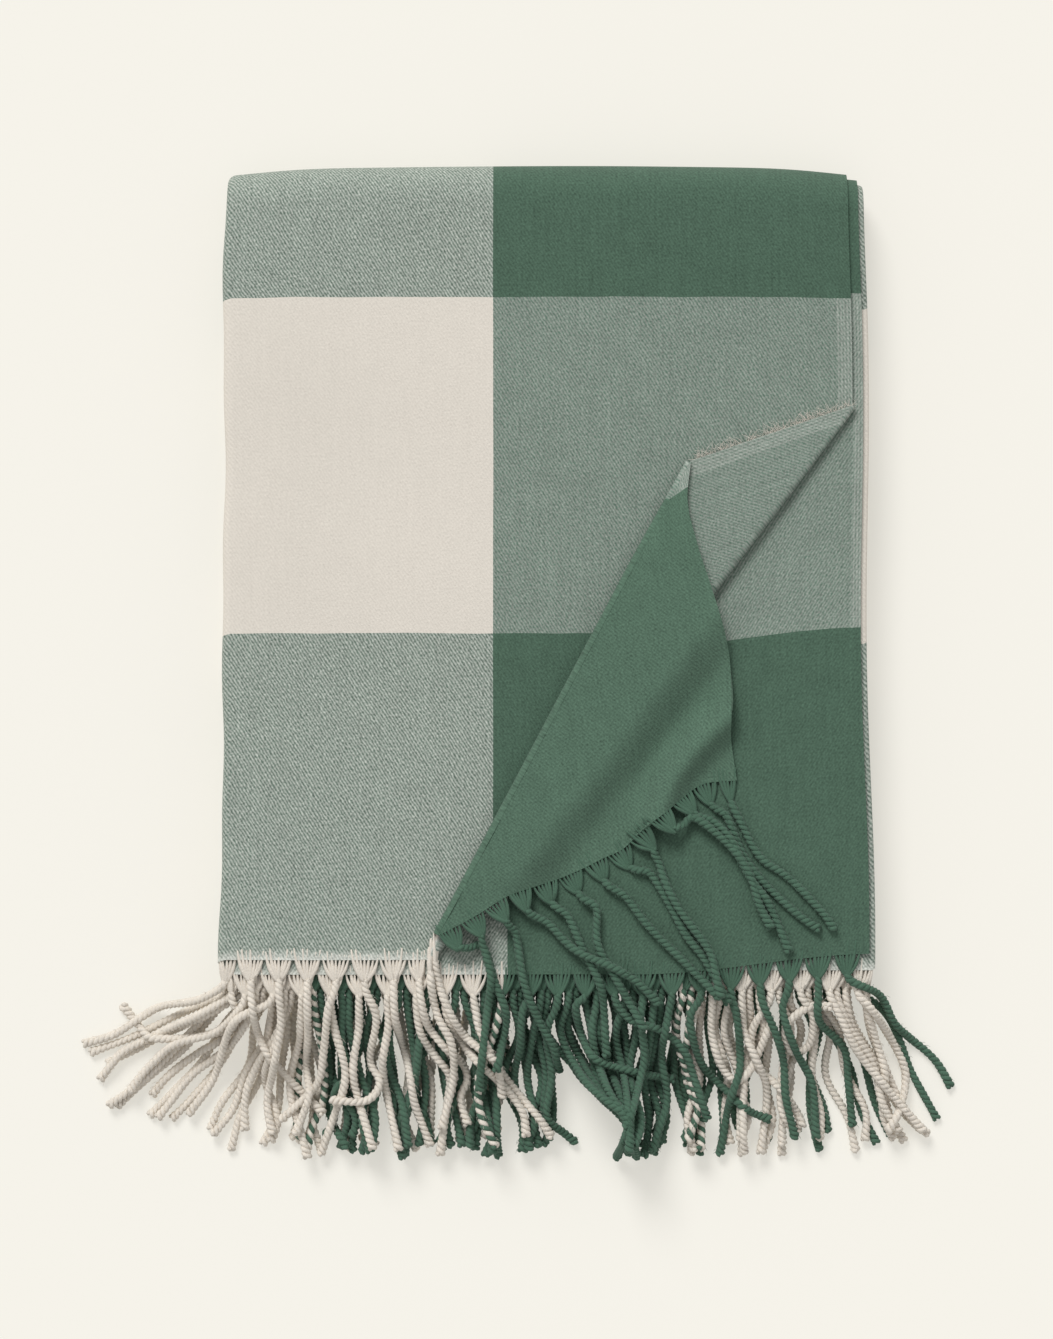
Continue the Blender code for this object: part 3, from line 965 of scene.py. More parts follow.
    def build(self, finishes: tuple) -> bpy.types.Object:
        """Make the sheet, with the turned part up to the second crease joined on.

        Args:
            finishes: materials of the face and the back.

        Returns:
            The cloth.
        """
        cut, corner = self.section(), self.corner
        foot, top = np.asarray(corner.lower_foot), np.asarray(corner.lower_top)
        beyond = (cut["strip"] == 1.0) & (cut["x"] >= foot[0] - 1e-6)
        turned = np.flatnonzero(beyond).tolist()
        points, flats = [], []
        parts = zip(cut["u"], cut["x"], cut["w"], cut["strip"])
        for i, (u, x, w, strip) in enumerate(parts):
            hem = float(self.hem_line(Hem.FACE, strip, x))
            under = float(self.hem_line(Hem.UNDER, strip, x)) + self.edge_trim
            start = hem + self.edge_trim
            if i in turned:
                start = mix(foot[1], top[1], (x - foot[0]) / (top[0] - foot[0]))
            column, along = self.column(x, w, hem, under, start)
            points.append(column)
            flats.append(np.column_stack([np.full(len(along), u), along]))
        rows = len(points[0])
        quads = grid_quads(len(points), rows)
        points, flats = np.vstack(points), np.vstack(flats)
        share = (cut["x"][turned] - foot[0]) / (top[0] - foot[0])
        first = [i * rows for i in turned]
        patch, patch_flats = self.turned_under(share, flats[first])
        ring = len(turned)
        base = len(points)
        lines = [first] + [[base + k * ring + i for i in range(ring)] for k in range(len(patch))]
        for near, far in zip(lines[:-1], lines[1:]):
            quads += [(far[i], near[i], near[i + 1], far[i + 1]) for i in range(ring - 1)]
        points = np.vstack([points, *patch])
        flats = np.vstack([flats, *patch_flats])
        return cloth_piece("throw_sheet", settle(points), flats, quads, self.thickness, finishes)

    def turned_under(self, share: np.ndarray, flats: np.ndarray) -> tuple[list, list]:
        """Lay the first crease's bend and the wrong-side layer up to the second crease.

        Args:
            share: place of each column along the crease, 0 at its foot.
            flats: flat coordinates of the columns at the crease.

        Returns:
            Rows of positions and rows of flat coordinates.
        """
        corner, lay = self.corner, self.layout
        run = np.subtract(corner.lower_top, corner.lower_foot)
        outward = np.array([run[1], -run[0]]) / np.linalg.norm(run)
        line = corner.crease(corner.lower_top, corner.lower_foot, share)
        radius = lay.pitch * corner.looseness(share)
        near_a = corner.crease(corner.hinge_top, corner.hinge_foot, share)
        flat_a = np.column_stack([corner.flat_hem * (1 - share), corner.flat_side * share])
        rows, rows_flat = [], []
        for turn in np.linspace(0, math.pi, 10)[1:]:
            xy = line + outward * (radius * math.sin(turn))[:, None]
            rows.append(np.column_stack([xy, lay.level(TOP_LEVEL) + radius * (1 - math.cos(turn))]))
            rows_flat.append(mix(flats, flat_a, 0.03 * turn / math.pi))
        for part in np.linspace(0, 1, 17)[1:]:
            rise = 0.0009 * math.sin(math.pi * part) * np.sin(math.pi * share)
            xy = mix(line, near_a, part)
            rows.append(np.column_stack([xy, lay.level(TOP_LEVEL) + 2 * radius + rise]))
            rows_flat.append(mix(flats, flat_a, mix(0.03, 1.0, part)))
        return rows, rows_flat


# Lie of the tassels that show, listed in millimetres from the object's origin. The first
# number of each pair of brackets is where its root stands along the hem.
LAID = {
    ("face", 1): (
        (-146, (-163.8, -170.9), (-183, -175), (-194.6, -181.5), (-207.3, -189.6),
         (-225.9, -195.2)),
        (-132, (-131.5, -190.6), (-118.9, -209.8), (-96.2, -232.5)),
        (-118, (-120.4, -182.5), (-124.9, -206.8), (-128.5, -224.4), (-124.4, -245.2)),
        (-104, (-106.8, -187.1), (-108.3, -206.8), (-106.8, -219.9), (-114, -240)),
        (-90, (-96.2, -174.5), (-99.2, -198.7), (-102.7, -214.3), (-118.9, -230.5)),
        (-76, (-71.9, -179), (-75.5, -201.7), (-70.4, -212.8), (-77, -221.9), (-92.1, -221.9)),
        (-61, (-61.8, -182.5), (-55.8, -206.8), (-52.7, -224.4), (-47.7, -238.6)),
        (-47, (-46.2, -182.5), (-38.1, -193.6), (-28.5, -203.2), (-26, -212.8),
         (-29.5, -222.4), (-21.9, -245.2)),
        (-41, (-36.1, -151.7), (-37.6, -169.4), (-28.5, -187.1), (-17.4, -196.7),
         (-10.8, -203), (-8, -222)),
        (-44, (-43, -160), (-41, -178), (-34, -192), (-33, -210), (-38, -232)),
    ),
    ("face", 4): (
        (-138, (-154.2, -187.1), (-174.9, -193.6), (-188.1, -204.8), (-196.2, -214.3),
         (-200.7, -221.9)),
        (-124, (-144.6, -182), (-155.8, -211.3), (-166.9, -227.5), (-173.4, -237.1)),
        (-109, (-111, -190), (-117, -215), (-111, -240)),
        (-95, (-93, -186), (-88, -210), (-96, -236)),
        (-81, (-81, -185), (-84, -210), (-76, -240)),
        (-67, (-66, -184), (-69, -208), (-62, -243)),
        (-53, (-49.7, -187.1), (-43.1, -198.7), (-35.1, -209.8), (-36.6, -226)),
        (-39, (-36, -178), (-27, -195), (-9.3, -212.8), (1.8, -227.5), (3.8, -238.6)),
        (-25, (-21.4, -176), (-18.9, -187.1), (-6.3, -211.3), (9.9, -230.5), (13.4, -235.6)),
        (-10, (-8, -172), (-14, -192), (-20.4, -211.3), (-18.9, -230.5), (-13.3, -242.1)),
        (4, (2, -176), (1, -194), (-2, -214), (3.8, -240)),
        (18, (14.4, -187.1), (17, -209.8), (14.4, -230.5), (23.5, -240)),
        (32, (29.1, -174.5), (37.2, -198.7), (57.9, -206.8), (77.1, -211.3), (83.6, -212.8)),
        (46, (47, -172), (57.9, -181), (71, -185), (84, -196), (90, -212)),
        (60, (62, -180), (64, -200), (59, -220), (53.8, -239.6)),
        (74, (76, -178), (73, -200), (76, -222), (70, -242.1)),
        (88, (87, -180), (93.2, -203.2), (106.3, -217.9), (117.5, -227.5), (128.6, -232.5)),
        (103, (111, -180), (112.9, -203.2), (108, -222), (104.8, -241)),
        (117, (124, -172), (130.6, -187), (135.1, -202), (136.1, -219.4), (140.2, -237.1)),
        (131, (134, -176), (141, -196), (150, -214), (152, -238)),
        (145, (152.8, -181), (165.9, -195.2), (168.5, -211.3), (170.5, -230.5)),
        (159, (170.5, -172), (177, -185), (184.1, -198.7), (184.1, -214.3), (180.1, -229),
         (177, -238.6)),
        (173, (183.6, -167.9), (191.7, -182.5), (199.8, -190.6), (213.9, -203.2), (224, -220.9)),
    ),
    ("face", 3): (
        (169, (180.1, -176), (191.7, -193.6), (198.3, -209.8), (194.7, -227.5), (185.1, -243.6)),
        (154, (162, -176), (172, -196), (186, -214), (206.8, -238.1)),
        (140, (149.8, -178), (148.3, -193.6), (140.2, -197.7), (136.1, -190.6), (137.7, -181),
         (148.3, -173.4), (158.4, -173.4)),
        (126, (119, -186), (121, -204), (133.6, -216.4), (143.2, -230.5), (147.3, -245.2),
         (152.8, -243.6)),
        (112, (114.4, -185.6), (120.5, -200), (127, -218), (124, -249)),
        (98, (98.3, -187.1), (102.8, -203.2), (110.9, -212.3), (119, -204.8), (126.5, -187.1)),
        (84, (81, -178), (80.6, -190.6), (85.1, -204.8), (91.7, -224.4), (87.7, -238.6)),
        (-72, (-68.9, -190.6), (-65.9, -206.8), (-59.3, -224.4), (-55.8, -248.2)),
        (-86, (-89.1, -176), (-89.6, -195.2), (-84, -208.3), (-93.1, -216.4),
         (-94.6, -234), (-99.2, -241.1)),
        (-100, (-100, -195), (-99.2, -219.9), (-105.8, -237.1), (-107.8, -246.7)),
        (-142, (-141.1, -182.5), (-162.3, -189.6), (-186.6, -191.1), (-192.6, -187.1),
         (-200.7, -177.5)),
        (-128, (-147.7, -195.2), (-166.9, -209.8), (-178.5, -224.4), (-186.6, -234.5)),
    ),
    ("face", 2): (
        (-141, (-162.3, -178), (-178.5, -186), (-189.6, -191.6), (-202.7, -198.2), (-207, -203)),
        (-127, (-150.7, -190.6), (-163.8, -198.7), (-180, -211.3), (-191, -225)),
        (-113, (-124, -190), (-133.5, -204.8), (-139.6, -220.9), (-140.1, -246.2)),
    ),
    ("under", 4): (
        (173, (186, -176), (194.7, -191), (201.3, -208.3), (212.4, -229)),
    ),
    ("flap", 1): (
        (109, (112.9, -80.5), (122, -97.2), (137.2, -108.3), (153.8, -125.5), (161.4, -136.6)),
        (99, (105.3, -76.5), (114.4, -97.2), (126, -112.3), (144.7, -129), (157.9, -136.6)),
        (88, (98, -79), (107.4, -88.1), (116.4, -106.8), (126, -120), (134, -138)),
        (80, (88.7, -77), (105.3, -90), (116.4, -104.7), (122, -122), (133, -142)),
        (74, (84.6, -91.6), (99.8, -108.3), (124, -123.4), (135.1, -136.6), (135.1, -147.7)),
        (63, (70, -95.7), (73.5, -108.3), (81.1, -123.4), (96.2, -144.2), (100, -158)),
        (54, (65.9, -104.7), (73.5, -115.9), (84.6, -136.6), (94.2, -149.2), (107.9, -174.5)),
        (44, (54.8, -117.9), (65.9, -132.5), (81.1, -147.7), (99.8, -166.4)),
        (34, (39.7, -123.4), (40.2, -142.1), (50, -160), (60, -178)),
        (21, (25, -127), (32.6, -144.2), (42, -164), (44, -186)),
        (3, (15.4, -131), (28.6, -144.2), (48.3, -153.2), (60.9, -161.3), (71, -171.9)),
        (-9, (-1.2, -136.6), (3.3, -162.8), (11.4, -182.5), (17.5, -193.6), (19.5, -201.7)),
        (-24, (-18, -142), (-12, -160), (-6, -178), (-9, -196)),
    ),
}


# Where the tips part and the floor shows: middle of each parting, half its width, and the place
# along the hem that divides the tassels combed to its left from those combed to its right.
PARTINGS_MM = ((37, 19, 10), (99, 6, 99), (142, 7, 142))


@dataclass
class Tassel:
    """One twisted tassel of the fringe.

    Attributes:
        hem: the hem that it is part of.
        strip: which folded strip that hem belongs to, or 1 on the turned corner.
        on_flap: whether it hangs from the loose flap.
        plies: the yarn of each of its two plies.
        root: where it leaves the cloth.
        fan: the points of the hem that its yarns come from.
        line: its centre line, filled in as the fringe is laid.
    """

    hem: Hem
    strip: int
    on_flap: bool
    plies: tuple[Yarn, Yarn]
    root: np.ndarray
    fan: np.ndarray
    line: np.ndarray | None = None

    def group(self) -> str:
        """Return the name of the CAD fringe that this tassel stands in."""
        return "fringe_flap" if self.on_flap else f"fringe_{self.hem.value}_{self.strip}"


# A swept yarn or fibre: which ply's colour it takes, its points and its faces.
Strand = tuple[int, np.ndarray, list]


@dataclass
class Fringe:
    """Every tassel of the two hems, laid one on another from the floor up.

    Attributes:
        sheet: the folded sheet.
        corner: the turned corner.
        spacing: distance from one tassel to the next.
        length: length of a tassel beyond its fan.
        fan_length: length of the open yarns between the woven edge and the twist.
        ply_radius: radius of one ply, and ply_offset its distance from the middle of the cord.
        lay: length in which a ply goes once round.
        cell: size of a cell of the ground that tassels rest on.
        ground_corner: distance of the ground's lower left corner to the left and the front.
        ground_cells: cells of the ground across and along.
        fibres, hidden_fibres: loose fibres on a tassel of the upper and the lower hem.
        first_root, first_under_root: where the first tassel of each hem stands.
        crease_gap: clearance of a fan from a crease of the turned corner.
        hand_reach: how far off a listed root may stand, as a share of spacing.
        shared_band: how near to a colour change a tassel takes both yarns, likewise.
        fall, flap_fall: length in which a tassel comes down from the stack and from the flap.
        pile_limit: height over which tassels no longer rest on others.
        sink: how far a tassel's middle stands over what is below it, as a share of its radius.
        taken: how much of its radius it adds to the ground.
    """

    sheet: FoldedSheet
    corner: TurnedCorner
    spacing: float = 0.01414
    length: float = 0.086
    fan_length: float = 0.0095
    ply_radius: float = 0.00138
    ply_offset: float = 0.00086
    lay: float = 0.0058
    cell: float = 0.0015
    ground_corner: tuple[float, float] = (0.26, 0.29)
    ground_cells: tuple[int, int] = (360, 330)
    fibres: int = 44
    hidden_fibres: int = 10
    first_root: float = 0.0028
    first_under_root: float = 0.0075
    crease_gap: float = 0.0006
    hand_reach: float = 0.55
    shared_band: float = 0.28
    fall: float = 0.052
    flap_fall: float = 0.030
    pile_limit: float = 0.040
    sink: float = 0.86
    taken: float = 0.55

    def hem_points(self, hem: Hem, across: np.ndarray) -> np.ndarray:
        """Find settled points on a woven edge.

        Args:
            hem: which of the two hems.
            across: their distances across the flat cloth.

        Returns:
            Their positions.
        """
        cut, lay = self.sheet.section(), self.sheet.layout
        x, w, strip = (np.interp(across, cut["u"], cut[k]) for k in ("x", "w", "strip"))
        y = self.sheet.hem_line(hem, strip, x) + self.sheet.edge_trim
        level = 13.5 + w if hem is Hem.FACE else 9.5 - w
        points = settle(np.column_stack([x, y, lay.level(level)]))
        if hem is Hem.FACE:
            corner = self.corner
            loose = across < corner.flat_hem
            part = 1 - np.clip(across / corner.flat_hem, 0, 1)
            flap = corner.flap_surface(part, np.zeros(len(across)))
            points[loose] = flap[loose]
            turned = (~loose) & (across < corner.flat_run)
            share = (across - corner.flat_hem) / (corner.flat_run - corner.flat_hem)
            xy = mix(np.asarray(corner.hinge_foot), np.asarray(corner.lower_foot), share[:, None])
            under = settle(np.column_stack([xy, np.full(len(across), lay.level(16.8))]))
            points[turned] = under[turned]
        return points

    def plies_at(self, across: float) -> tuple[Yarn, Yarn]:
        """Choose a tassel's yarns; one that falls on a colour change takes a ply of each.

        Args:
            across: place of the tassel across the flat cloth.

        Returns:
            The yarn of each ply.
        """
        face = TwillFinish(Side.FACE)
        place = (across - face.first_column) / face.column
        band = math.floor(place) % 2
        own, other = (Yarn.CREAM, Yarn.GREEN) if band == 0 else (Yarn.GREEN, Yarn.CREAM)
        near = abs(place - round(place)) * face.column < self.shared_band * self.spacing
        return (own, other) if near else (own, own)

    def roots(self, hem: Hem) -> list[Tassel]:
        """Find where the tassels of one hem start, and the hem points that feed each one.

        Args:
            hem: which of the two hems.

        Returns:
            The tassels, not laid yet.
        """
        cut = self.sheet.section()
        total = cut["u"][-1]
        shift = self.first_root if hem is Hem.FACE else self.first_under_root
        creases = (self.corner.flat_hem, self.corner.flat_run) if hem is Hem.FACE else ()
        found = []
        for across in np.arange(shift, total, self.spacing):
            spread = across + np.linspace(-0.46, 0.46, 7) * self.spacing
            # No fan reaches across a crease of the turned corner.
            for border in creases:
                inside = (border, total) if across > border else (0.0, border)
                spread = np.clip(spread, inside[0] + self.crease_gap, inside[1] - self.crease_gap)
            fan = self.hem_points(hem, np.clip(spread, 0, total))
            strip = int(min(4, math.floor(np.interp(across, cut["u"], cut["strip"]) + 1e-6)))
            on_flap = hem is Hem.FACE and across < self.corner.flat_hem
            root = fan.mean(axis=0)
            away = np.array([0.0, -1.0, 0.0])
            if on_flap:
                side = fan[0] - fan[-1]
                away = np.array([side[1], -side[0], 0.0]) / np.hypot(side[0], side[1])
            root = root + away * self.fan_length - np.array([0, 0, 0.0008])
            found.append(Tassel(hem, strip, on_flap, self.plies_at(across), root, fan))
        return found

    def hand_line(self, tassel: Tassel, laid: dict) -> np.ndarray | None:
        """Take the listed line whose root stands nearest, if one is within half a spacing or so.

        Args:
            tassel: the tassel.
            laid: the lines not taken yet, by fringe; changed in place.

        Returns:
            The line in plan, or None.
        """
        key = ("flap", 1) if tassel.on_flap else (tassel.hem.value, tassel.strip)
        lines = laid.get(key, [])
        if not lines:
            return None
        nearest = min(lines, key=lambda line: abs(line[0] * MM - tassel.root[0]))
        if abs(nearest[0] * MM - tassel.root[0]) > self.hand_reach * self.spacing:
            return None
        lines.remove(nearest)
        return np.array(nearest[1:]) * MM

    def loose_line(self, tassel: Tassel, chance: random.Random) -> np.ndarray:
        """Let a hidden tassel fall forward with its own wander; those on the left sweep outward.

        Args:
            tassel: the tassel.
            chance: source of its wander.

        Returns:
            Its line in plan.
        """
        x, y = tassel.root[:2]
        # Radians from straight forward: up to 0.16 either way, but far left at the left corner.
        swept = float(smooth(-0.112, -0.146, x))
        lean = mix(chance.uniform(-0.16, 0.16), chance.uniform(-1.25, -0.55), swept)
        lean += 0.35 * float(smooth(0.12, 0.175, x))
        points = []
        for part in (0.28, 0.55, 0.8, 1.0):
            reach = part * self.length
            sway = chance.uniform(-0.0055, 0.0055) * (1 - 0.6 * swept)
            place = x + math.sin(lean * (0.6 + 0.4 * part)) * reach + sway
            for middle, half, divide in PARTINGS_MM:
                off = place - middle * MM
                if abs(off) < half * MM:
                    side = 1 if x > divide * MM else -1
                    place += (side * half * MM - off) * float(smooth(0.35, 0.85, part))
            points.append((place, y - math.cos(lean) * reach))
        return np.array(points)

    def flat_line(self, tassel: Tassel, hand: np.ndarray, reach: float) -> np.ndarray:
        """Draw a tassel's line in plan, cut or carried on to its full length.

        Args:
            tassel: the tassel.
            hand: points that its line passes.
            reach: its length.

        Returns:
            Evenly spaced points from its root.
        """
        start = tassel.root[:2]
        while len(hand) > 2 and np.linalg.norm(hand[0] - start) < 0.5 * self.spacing:
            hand = hand[1:]
        if tassel.on_flap:
            # Halfway to the first point it is pushed a little away from its fan.
            leave = mix(start, hand[0], 0.5) - 0.1 * (tassel.fan[3][:2] - start)
            hand = np.vstack([leave, hand])
        # It leaves the hem nearly straight forward.
        towards = start + 0.35 * (hand[0] - start) * np.array([0.35, 1.0])
        line = curve_through(np.vstack([start, towards, hand]), 14)
        steps = distances(line)
        if steps[-1] < reach:
            ahead = line[-1] - line[-12]
            ahead = ahead / np.linalg.norm(ahead)
            line = np.vstack([line, line[-1] + ahead * (reach - steps[-1])])
            steps = np.append(steps, reach)
        return sample(np.linspace(0, min(reach, steps[-1]), 46), steps, line)

    def lie(self, tassel: Tassel, plan: np.ndarray, ground: np.ndarray) -> np.ndarray:
        """Rest a tassel on what lies below it and mark its own height on the ground.

        Args:
            tassel: the tassel.
            plan: its line in plan.
            ground: heights already taken, in cells from the lower left corner; changed in place.

        Returns:
            The centre line.
        """
        radius = self.ply_offset + self.ply_radius
        cells = np.floor((plan + np.array(self.ground_corner)) / self.cell).astype(int)
        cells = np.clip(cells, 2, np.array(ground.shape) - 3)
        below = np.array([ground[i - 1 : i + 2, j - 1 : j + 2].max() for i, j in cells])
        steps = distances(plan)
        drop = self.flap_fall if tassel.on_flap else self.fall
        free = radius + (tassel.root[2] - radius) * (1 - smooth(0.0, drop, steps))
        rest = np.minimum(below, self.pile_limit) + radius * self.sink
        height = np.maximum(free, rest)
        kernel = np.array([1, 2, 3, 4, 3, 2, 1]) / 16
        for _ in range(2):
            height = even_out(height, kernel)
        height = mix(tassel.root[2], height, smooth(0.0, 0.006, steps))
        for (i, j), z in zip(cells, height):
            patch = ground[i - 1 : i + 2, j - 1 : j + 2]
            np.maximum(patch, z + self.taken * radius, out=patch)
        return np.column_stack([plan, height])

    def lay_all(self) -> list[Tassel]:
        """Lay every tassel, the lowest layer first and the flap's last.

        Returns:
            The tassels with their centre lines.
        """
        chance = random.Random(11)
        laid = {key: list(lines) for key, lines in LAID.items()}
        tassels = self.roots(Hem.FACE) + self.roots(Hem.UNDER)
        tassels.sort(key=lambda t: (t.on_flap, round(float(t.fan[3][2]), 4), float(t.root[0])))
        ground = np.zeros(self.ground_cells)
        covered = False
        for tassel in tassels:
            if tassel.on_flap and not covered:
                self.cover_with_stack(ground)
                covered = True
            hand = self.hand_line(tassel, laid)
            if hand is None:
                hand = self.loose_line(tassel, chance)
            reach = self.length * chance.uniform(0.95, 1.06)
            tassel.line = self.lie(tassel, self.flat_line(tassel, hand, reach), ground)
        return tassels

    def cover_with_stack(self, ground: np.ndarray) -> None:
        """Raise the ground to the top of the folded stack, which the flap's tassels cross.

        Args:
            ground: heights already taken; changed in place.
        """
        lay = self.sheet.layout
        i, j = np.indices(ground.shape)
        left, front = self.ground_corner
        x, y = (i + 0.5) * self.cell - left, (j + 0.5) * self.cell - front
        top = lay.level(TOP_LEVEL - 1) + 0.0016
        inside = (x > lay.left) & (x < lay.selvedge[1]) & (y > lay.face_hem[3] - 0.003)
        ground[inside] = np.maximum(ground[inside], top)
        beside_corner = inside & (x < -0.046)
        ground[beside_corner] = lay.level(TOP_LEVEL) + 0.001

    def tube(self, line: np.ndarray, radius: np.ndarray, sides: int) -> tuple[np.ndarray, list]:
        """Sweep a round section along a line and close both ends.

        Args:
            line: centre line.
            radius: radius at each point.
            sides: points round the section.

        Returns:
            Points and faces.
        """
        across, up = sideways(line)
        turn = np.linspace(0, 2 * math.pi, sides, endpoint=False)[None, :, None]
        ring = across[:, None, :] * np.cos(turn) + up[:, None, :] * np.sin(turn)
        points = (line[:, None, :] + ring * radius[:, None, None]).reshape(-1, 3)
        faces = []
        for k in range(len(line) - 1):
            for s in range(sides):
                n, here, there = (s + 1) % sides, k * sides, (k + 1) * sides
                faces.append((here + s, there + s, there + n, here + n))
        faces.append(tuple(range(sides)))
        faces.append(tuple(range(len(points) - 1, len(points) - sides - 1, -1)))
        return points, faces

    def twist(self, tassel: Tassel, ply: int, start_turn: float) -> tuple[np.ndarray, list]:
        """Wind one ply of a tassel round its centre line; the cut end opens a little.

        Args:
            tassel: the tassel.
            ply: 0 or 1.
            start_turn: angle at which the first ply starts.

        Returns:
            Points and faces.
        """
        shown = tassel.hem is Hem.FACE
        # Tassels of the lower hem are mostly covered, so they are wound more coarsely.
        steps_a_turn, sides = (8, 6) if shown else (6, 5)
        step = self.lay / steps_a_turn
        places = distances(tassel.line)
        wanted = np.arange(0.0, places[-1], step)
        centre = sample(wanted, places, tassel.line)
        centre = np.stack([even_out(part, np.ones(7) / 7) for part in centre.T], axis=1)
        across, up = sideways(centre)
        turn = start_turn + ply * math.pi + 2 * math.pi * wanted / self.lay
        # The plies open over the last 10 mm and are pinched together where the fan ends.
        opened = smooth(places[-1] - 0.010, places[-1], wanted)
        started = smooth(-0.004, 0.005, wanted)
        offset = self.ply_offset * (0.55 + 0.45 * started) * (1 + 0.75 * opened)
        radius = self.ply_radius * (0.8 + 0.2 * started) * (1 - 0.12 * opened)
        # Spun yarn is a little thicker and thinner every 27 mm.
        radius = radius * (1 + 0.07 * np.sin(230 * wanted + 7 * start_turn))
        path = centre + across * (offset * np.cos(turn))[:, None]
        path = path + up * (offset * np.sin(turn))[:, None]
        path[:, 2] = np.maximum(path[:, 2], radius)
        return self.tube(path, radius, sides)

    def halo(self, tassel: Tassel, chance: random.Random) -> list[Strand]:
        """Stand loose fibres off a tassel, about three times as thick as real ones so they show.

        Args:
            tassel: the tassel.
            chance: source of the fibres' places and lie.

        Returns:
            The fibres.
        """
        made = []
        thin = np.array([0.00012, 0.00010, 0.00005])
        for _ in range(self.fibres if tassel.hem is Hem.FACE else self.hidden_fibres):
            k = chance.randrange(2, len(tassel.line) - 1)
            ahead = tassel.line[k] - tassel.line[k - 1]
            ahead = ahead / np.linalg.norm(ahead)
            aside = np.array([chance.gauss(0, 1), chance.gauss(0, 1), abs(chance.gauss(0, 0.8))])
            aside = aside - ahead * float(aside @ ahead)
            aside = aside / np.linalg.norm(aside)
            reach = chance.uniform(0.0010, 0.0030)
            start = tassel.line[k] + aside * 0.0016
            bend = start + aside * 0.45 * reach + ahead * chance.uniform(-0.3, 0.6) * reach
            tip = bend + aside * 0.25 * reach + ahead * chance.uniform(0.2, 0.9) * reach
            strand = np.array([start, bend, tip])
            # Keep it over the floor.
            strand[:, 2] = np.maximum(strand[:, 2], 0.0002)
            made.append((chance.randrange(2), *self.tube(strand, thin, 3)))
        return made

    def fan_yarns(self, tassel: Tassel, chance: random.Random) -> list[Strand]:
        """Gather the loose warp yarns of the hem into a tassel's start.

        Args:
            tassel: the tassel.
            chance: source of where each yarn leaves the cloth and how thick it is.

        Returns:
            The yarns.
        """
        made = []
        places, radii = (0, 0.3, 0.5, 0.75, 1), (0.0004, 0.00075, 0.00115, 0.00125, 0.0010)
        inward = tassel.fan.mean(axis=0) - tassel.root
        for k, point in enumerate(tassel.fan):
            tip = tassel.root - 0.22 * inward + np.array([0, 0, 0.0002 * (k - 3)])
            start = point + inward * chance.uniform(0.05, 0.75)
            start = start + np.array([0, 0, chance.uniform(0, 0.0004)])
            part = np.linspace(0, 1, 9)[:, None]
            bent = mix(start, tip, part)
            bent[:, :2] += (point - tassel.fan[3])[:2] * (0.22 * np.sin(math.pi * part))
            radius = np.interp(part[:, 0], places, radii) * chance.uniform(0.85, 1.1)
            made.append((0 if k < 4 else 1, *self.tube(bent, radius, 5)))
        return made

    def build(self, dress: dict[Yarn, Material]) -> dict[tuple[str, Yarn], bpy.types.Object]:
        """Make the fringe, one piece for each hem and yarn.

        Args:
            dress: material of each yarn.

        Returns:
            The pieces, by CAD fringe name and yarn.
        """
        chance = random.Random(5)
        store: dict[tuple[str, Yarn], tuple[list, list]] = {}
        for tassel in self.lay_all():
            start_turn = chance.uniform(0, 2 * math.pi)
            parts = [(ply, *self.twist(tassel, ply, start_turn)) for ply in (0, 1)]
            parts += self.fan_yarns(tassel, chance)
            parts += self.halo(tassel, chance)
            for ply, points, faces in parts:
                key = (tassel.group(), tassel.plies[ply])
                points_all, faces_all = store.setdefault(key, ([], []))
                base = sum(len(p) for p in points_all)
                points_all.append(points)
                faces_all.extend(tuple(i + base for i in f) for f in faces)
        made = {}
        for group, yarn in sorted(store, key=lambda key: (key[0], key[1].value)):
            name = group.replace("fringe", "tassels") + "_" + yarn.value
            made[(group, yarn)] = yarn_piece(name, *store[(group, yarn)], dress[yarn])
        return made


@dataclass
class SelvedgeFray:
    """Loose weft ends along the selvedge of the turned layer.

    Attributes:
        corner: the turned corner.
        count: number of fibres.
        reach: length of the longest one.
    """

    corner: TurnedCorner
    count: int = 320
    reach: float = 0.0062

    def build(self, fringe: Fringe, finish: Material) -> bpy.types.Object:
        """Make the fray as one piece of fine curled fibres.

        Args:
            fringe: the fringe, whose tube method sweeps each fibre.
            finish: material of the fibres.

        Returns:
            The piece.
        """
        chance = random.Random(23)
        corner, lay = self.corner, self.corner.layout
        radius = lay.pitch * float(corner.looseness(np.array([1.0]))[0])
        low, high = np.asarray(corner.lower_top), np.asarray(corner.hinge_top)
        along = (high - low) / np.linalg.norm(high - low)
        outward = np.array([along[1], -along[0]])
        points_all, faces_all, base = [], [], 0
        for _ in range(self.count):
            place = mix(low, high, chance.uniform(0.01, 0.99)) - outward * 0.0005
            lean = chance.gauss(0, 0.7)
            # The power makes short fibres the commonest.
            reach = self.reach * chance.uniform(0.15, 1.0) ** 1.6
            aim = outward * math.cos(lean) + along * math.sin(lean)
            bend = chance.gauss(0, 0.35) * reach
            plan = [place, place + aim * 0.5 * reach, place + aim * reach + along * bend]
            level = lay.level(TOP_LEVEL) + 2 * radius + chance.uniform(-0.0004, 0.0006)
            heights = [level + k * chance.uniform(-0.0003, 0.0006) for k in range(3)]
            curled = curve_through(settle(np.column_stack([plan, heights])), 3)
            points, faces = fringe.tube(curled, np.linspace(0.00015, 0.00007, 7), 3)
            points_all.append(points)
            faces_all.extend(tuple(i + base for i in f) for f in faces)
            base += len(points)
        return yarn_piece("selvedge_fray", points_all, faces_all, finish)


